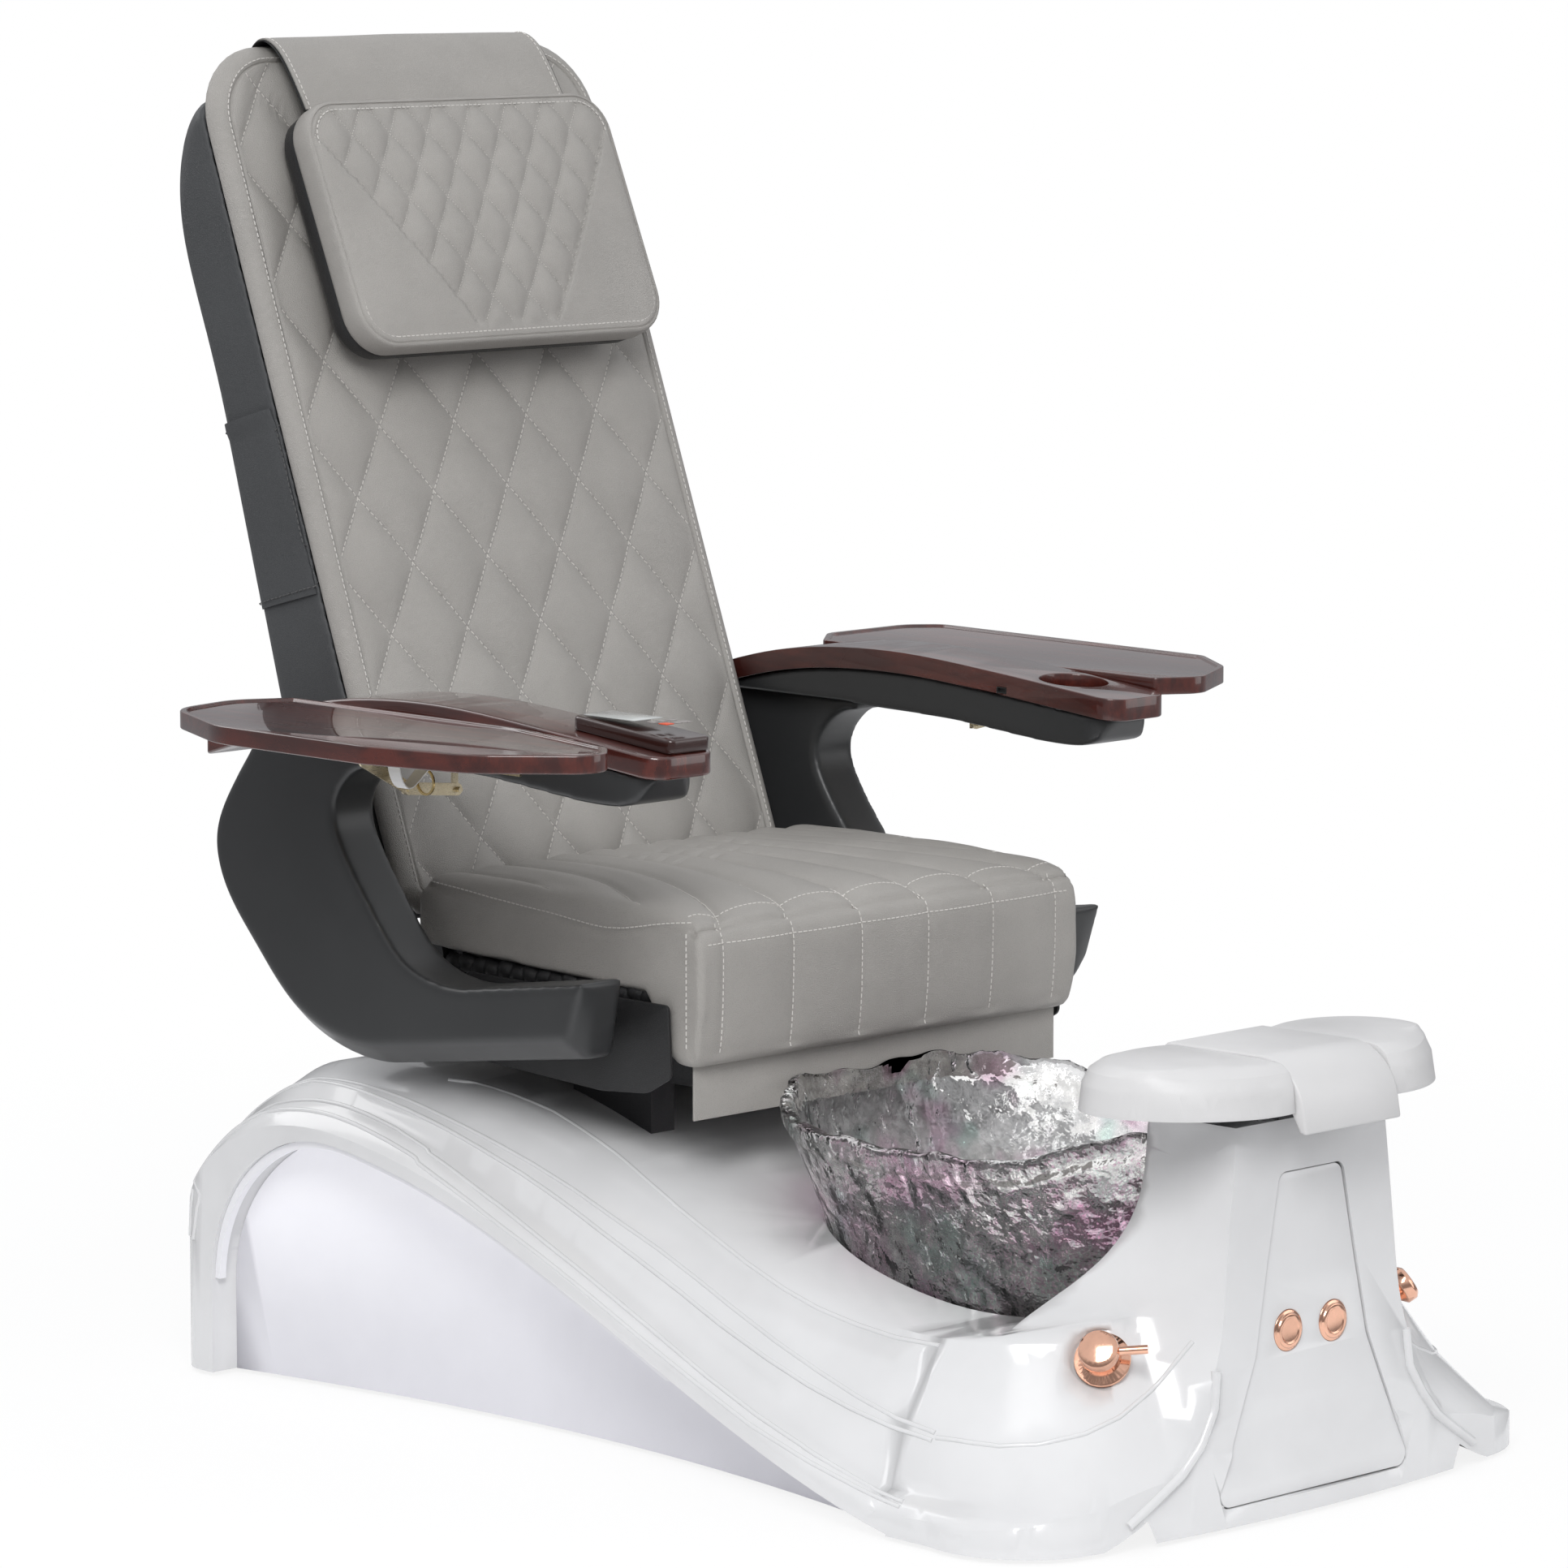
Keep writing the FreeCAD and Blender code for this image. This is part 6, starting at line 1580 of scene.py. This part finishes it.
    def _bowl(self) -> None:
        """The bowl: its walls flare out to a wide waving rim."""
        soft = self.shop.stuffed(self.shop.node_mesh("glass_bowl"), 0.0042, 3)
        for vertex in soft.verts:
            arm = Vector((vertex.co.x, vertex.co.y - self.BOWL_Y, 0.0))
            reach = arm.length
            if reach < self.BOWL_FLOOR:
                continue
            turn = math.atan2(arm.x, -arm.y)
            share = eased((vertex.co.z - self.RIM_START) / self.RIM_RUN)
            corner = math.cos(4 * turn + math.pi)
            rear = max(0.0, -math.cos(turn))
            side = abs(math.sin(turn))
            grow = self.FLARE + self.CORNER_FLARE * corner * side + self.REAR_FLARE * rear * side
            rise = self.RIM_RISE + self.CORNER_RISE * max(0.0, corner) * rear + self.REAR_RISE * rear
            wave = 0.0030 * math.sin(9 * turn + 0.6) + 0.0018 * math.sin(23 * turn)
            lift = Vector((0.0, 0.0, (rise + wave) * share))
            vertex.co += arm / reach * (grow * share + wave * share * 0.6) + lift
            relief = noise.noise(Vector((vertex.co.x * 46, vertex.co.y * 46, vertex.co.z * 30)))
            vertex.co += vertex.normal * (self.HAMMERED * relief)
            vertex.co.y = min(vertex.co.y, self.BOWL_FRONT_OF_SEAT)
        self.shop.piece("rippled_bowl", soft, BOWL_GLASS, "root", "bowl_glass", ("glass_bowl",), 80.0)


class Armrests(Maker):
    """The C shells, the wooden tops and trays, and what is set into them."""

    def build(self) -> None:
        """Make every piece."""
        for side in Side:
            name = side.name.lower()
            for node, voxel in (("arm_shell_" + name, 0.0034), ("arm_housing_" + name, 0.003)):
                soft = self.shop.stuffed(self.shop.node_mesh(node), voxel, 9)
                self.shop.piece(node + "_moulding", soft, SATIN_BLACK, "seat", self.shop.slot_of[node],
                                (node,), 60.0)
            self.shop.refined("arm_top_" + name, 0.003, 3)
            self.shop.refined("tray_" + name, 0.0025, 3)
        self._remote()

    def _remote(self) -> None:
        """The remote with its screen and keys."""
        self.shop.refined("remote", 0.003, 3)
        low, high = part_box("remote")
        middle = (low[0] + high[0]) / 2
        half = (high[0] - low[0]) / 2 - 0.007
        length = high[1] - low[1]

        def plate(name: str, near: float, far: float, left: float, right: float, finish: Finish) -> None:
            """A thin raised plate, placed by shares of the remote's length and width."""
            made = bmesh.new()
            x = middle + half * (left + right) / 2
            y = low[1] + length * (near + far) / 2
            spot = Matrix.Translation((x, y, high[2] + 0.0004))
            size = Matrix.Diagonal((half * (right - left), length * (far - near), 0.0012, 1.0))
            bmesh.ops.create_cube(made, size=1.0, matrix=spot @ size)
            bmesh.ops.bevel(made, geom=made.edges, offset=0.0004, segments=2, affect="EDGES", profile=0.5)
            self.shop.piece("remote_" + name, made, finish, "seat", self.shop.slot_of["remote"])

        plate("screen", 0.42, 0.92, -0.92, 0.92, SCREEN)
        plate("power_key", 0.12, 0.20, -0.80, -0.30, SIGNAL_RED)
        for n in range(3):
            plate(f"key_{n}", 0.12, 0.20, -0.10 + 0.34 * n, 0.16 + 0.34 * n, KEY_GREY)
            plate(f"low_key_{n}", 0.25, 0.32, -0.80 + 0.58 * n, -0.42 + 0.58 * n, KEY_GREY)


class Studio:
    """Floor, lights and camera of the photograph."""

    def build(self) -> None:
        """Set up the room."""
        scene = bpy.context.scene
        scene.view_settings.view_transform = "Standard"
        self._world(scene)
        self._floor()
        self._lamp("key", (-3.0, -2.6, 3.4), (0.0, 0.0, 0.6), 2.0, 122.0)
        self._lamp("fill", (3.0, -3.4, 1.6), (0.0, 0.0, 0.5), 2.6, 26.0)
        self._lamp("rear", (-1.0, 3.6, 3.2), (0.0, 0.2, 0.8), 2.2, 34.0)
        self._camera(scene)

    def _world(self, scene: bpy.types.Scene) -> None:
        """Pale surroundings that show white to the camera.

        Args:
            scene: The scene.
        """
        world = bpy.data.worlds.new("studio")
        scene.world = world
        world.use_nodes = True
        graph = Graph(world.node_tree)
        path = graph.add("LightPath")
        seen = graph.math("MAXIMUM", path.outputs["Is Camera Ray"], path.outputs["Is Transmission Ray"])
        way = graph.add("SeparateXYZ", {"Vector": graph.add("TexCoord").outputs["Generated"]})
        rise = graph.spread(way.outputs["Z"], 0.10, 0.55)
        around = graph.mix(rise, (0.30, 0.30, 0.31, 1.0), (0.78, 0.79, 0.81, 1.0))
        colour = graph.mix(seen, around, (1.0, 1.0, 1.0, 1.0))
        back = graph.add("Background", {"Color": colour, "Strength": 1.0})
        end = graph.add("OutputWorld")
        graph.feed(end.inputs["Surface"], back.outputs["Background"])

    def _floor(self) -> None:
        """A pale floor that keeps the chair's shadow and fades into the white surroundings."""
        sheet = bmesh.new()
        bmesh.ops.create_grid(sheet, x_segments=1, y_segments=1, size=3.0)
        floor = placed("floor", sheet)
        paint = bpy.data.materials.new("pale floor")
        paint.use_nodes = True
        graph = Graph(paint.node_tree)
        away = graph.add("VectorMath", {0: graph.place()}, operation="LENGTH").outputs["Value"]
        lit = graph.add("BsdfPrincipled", {"Base Color": (0.95, 0.95, 0.95, 1.0), "Roughness": 0.6,
                                           "Alpha": graph.spread(away, 1.1, 2.6, 1.0, 0.0)})
        white = graph.add("Emission", {"Color": (1.0, 1.0, 1.0, 1.0), "Strength": 1.0})
        share = graph.math("MULTIPLY", graph.add("LightPath").outputs["Is Camera Ray"], 0.86)
        both = graph.add("MixShader", {0: share, 1: lit.outputs["BSDF"], 2: white.outputs["Emission"]})
        end = graph.add("OutputMaterial")
        graph.feed(end.inputs["Surface"], both.outputs["Shader"])
        floor.data.materials.append(paint)

    def _lamp(self, name: str, place: Point, target: Point, size: float, power: float) -> None:
        """Add a soft area lamp.

        Args:
            name: Name of the lamp.
            place: Where it hangs.
            target: What it points at.
            size: Width of its square.
            power: Watts.
        """
        data = bpy.data.lights.new(name, "AREA")
        data.size = size
        data.energy = power
        lamp = bpy.data.objects.new(name, data)
        lamp.location = place
        lamp.rotation_euler = (Vector(target) - Vector(place)).to_track_quat("-Z", "Y").to_euler()
        bpy.context.scene.collection.objects.link(lamp)

    def _camera(self, scene: bpy.types.Scene) -> None:
        """The photograph's camera.

        Args:
            scene: The scene.
        """
        data = bpy.data.cameras.new("camera")
        data.lens = CAMERA_LENS
        data.sensor_width = 36.0
        data.clip_end = 60.0
        camera = bpy.data.objects.new("camera", data)
        camera.location = CAMERA_PLACE
        camera.rotation_euler = (math.pi / 2 - CAMERA_DROP, 0.0, CAMERA_TURN)
        scene.collection.objects.link(camera)
        scene.camera = camera


def dress_nodes(shop: Workshop) -> None:
    """Give every node that still shows the finish of its slot.

    Args:
        shop: The workshop.
    """
    for node, made in shop.frame["nodes"].items():
        if node in shop.replaced:
            continue
        made.data.materials.clear()
        made.data.materials.append(SLOT_FINISHES[shop.slot_of[node]].material())


def main() -> None:
    """Load the frame, dress it and set up the studio."""
    logging.basicConfig(level=logging.INFO, format="%(message)s")
    shop = Workshop(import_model())
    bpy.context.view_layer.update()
    Studio().build()
    Base(shop).build()
    BackRest(shop).build()
    Seat(shop).build()
    Armrests(shop).build()
    for node, width in (("access_panel", 0.001), ("centre_pad", 0.003), ("wing_left", 0.003),
                        ("wing_right", 0.003), ("mixer_body", 0.0006), ("mixer_handle", 0.0012),
                        ("shower_holder", 0.0006), ("hand_shower", 0.0008), ("jet_button", 0.0006),
                        ("light_button", 0.0006)):
        shop.refined(node, width)
    dress_nodes(shop)


if __name__ == "__main__":
    main()
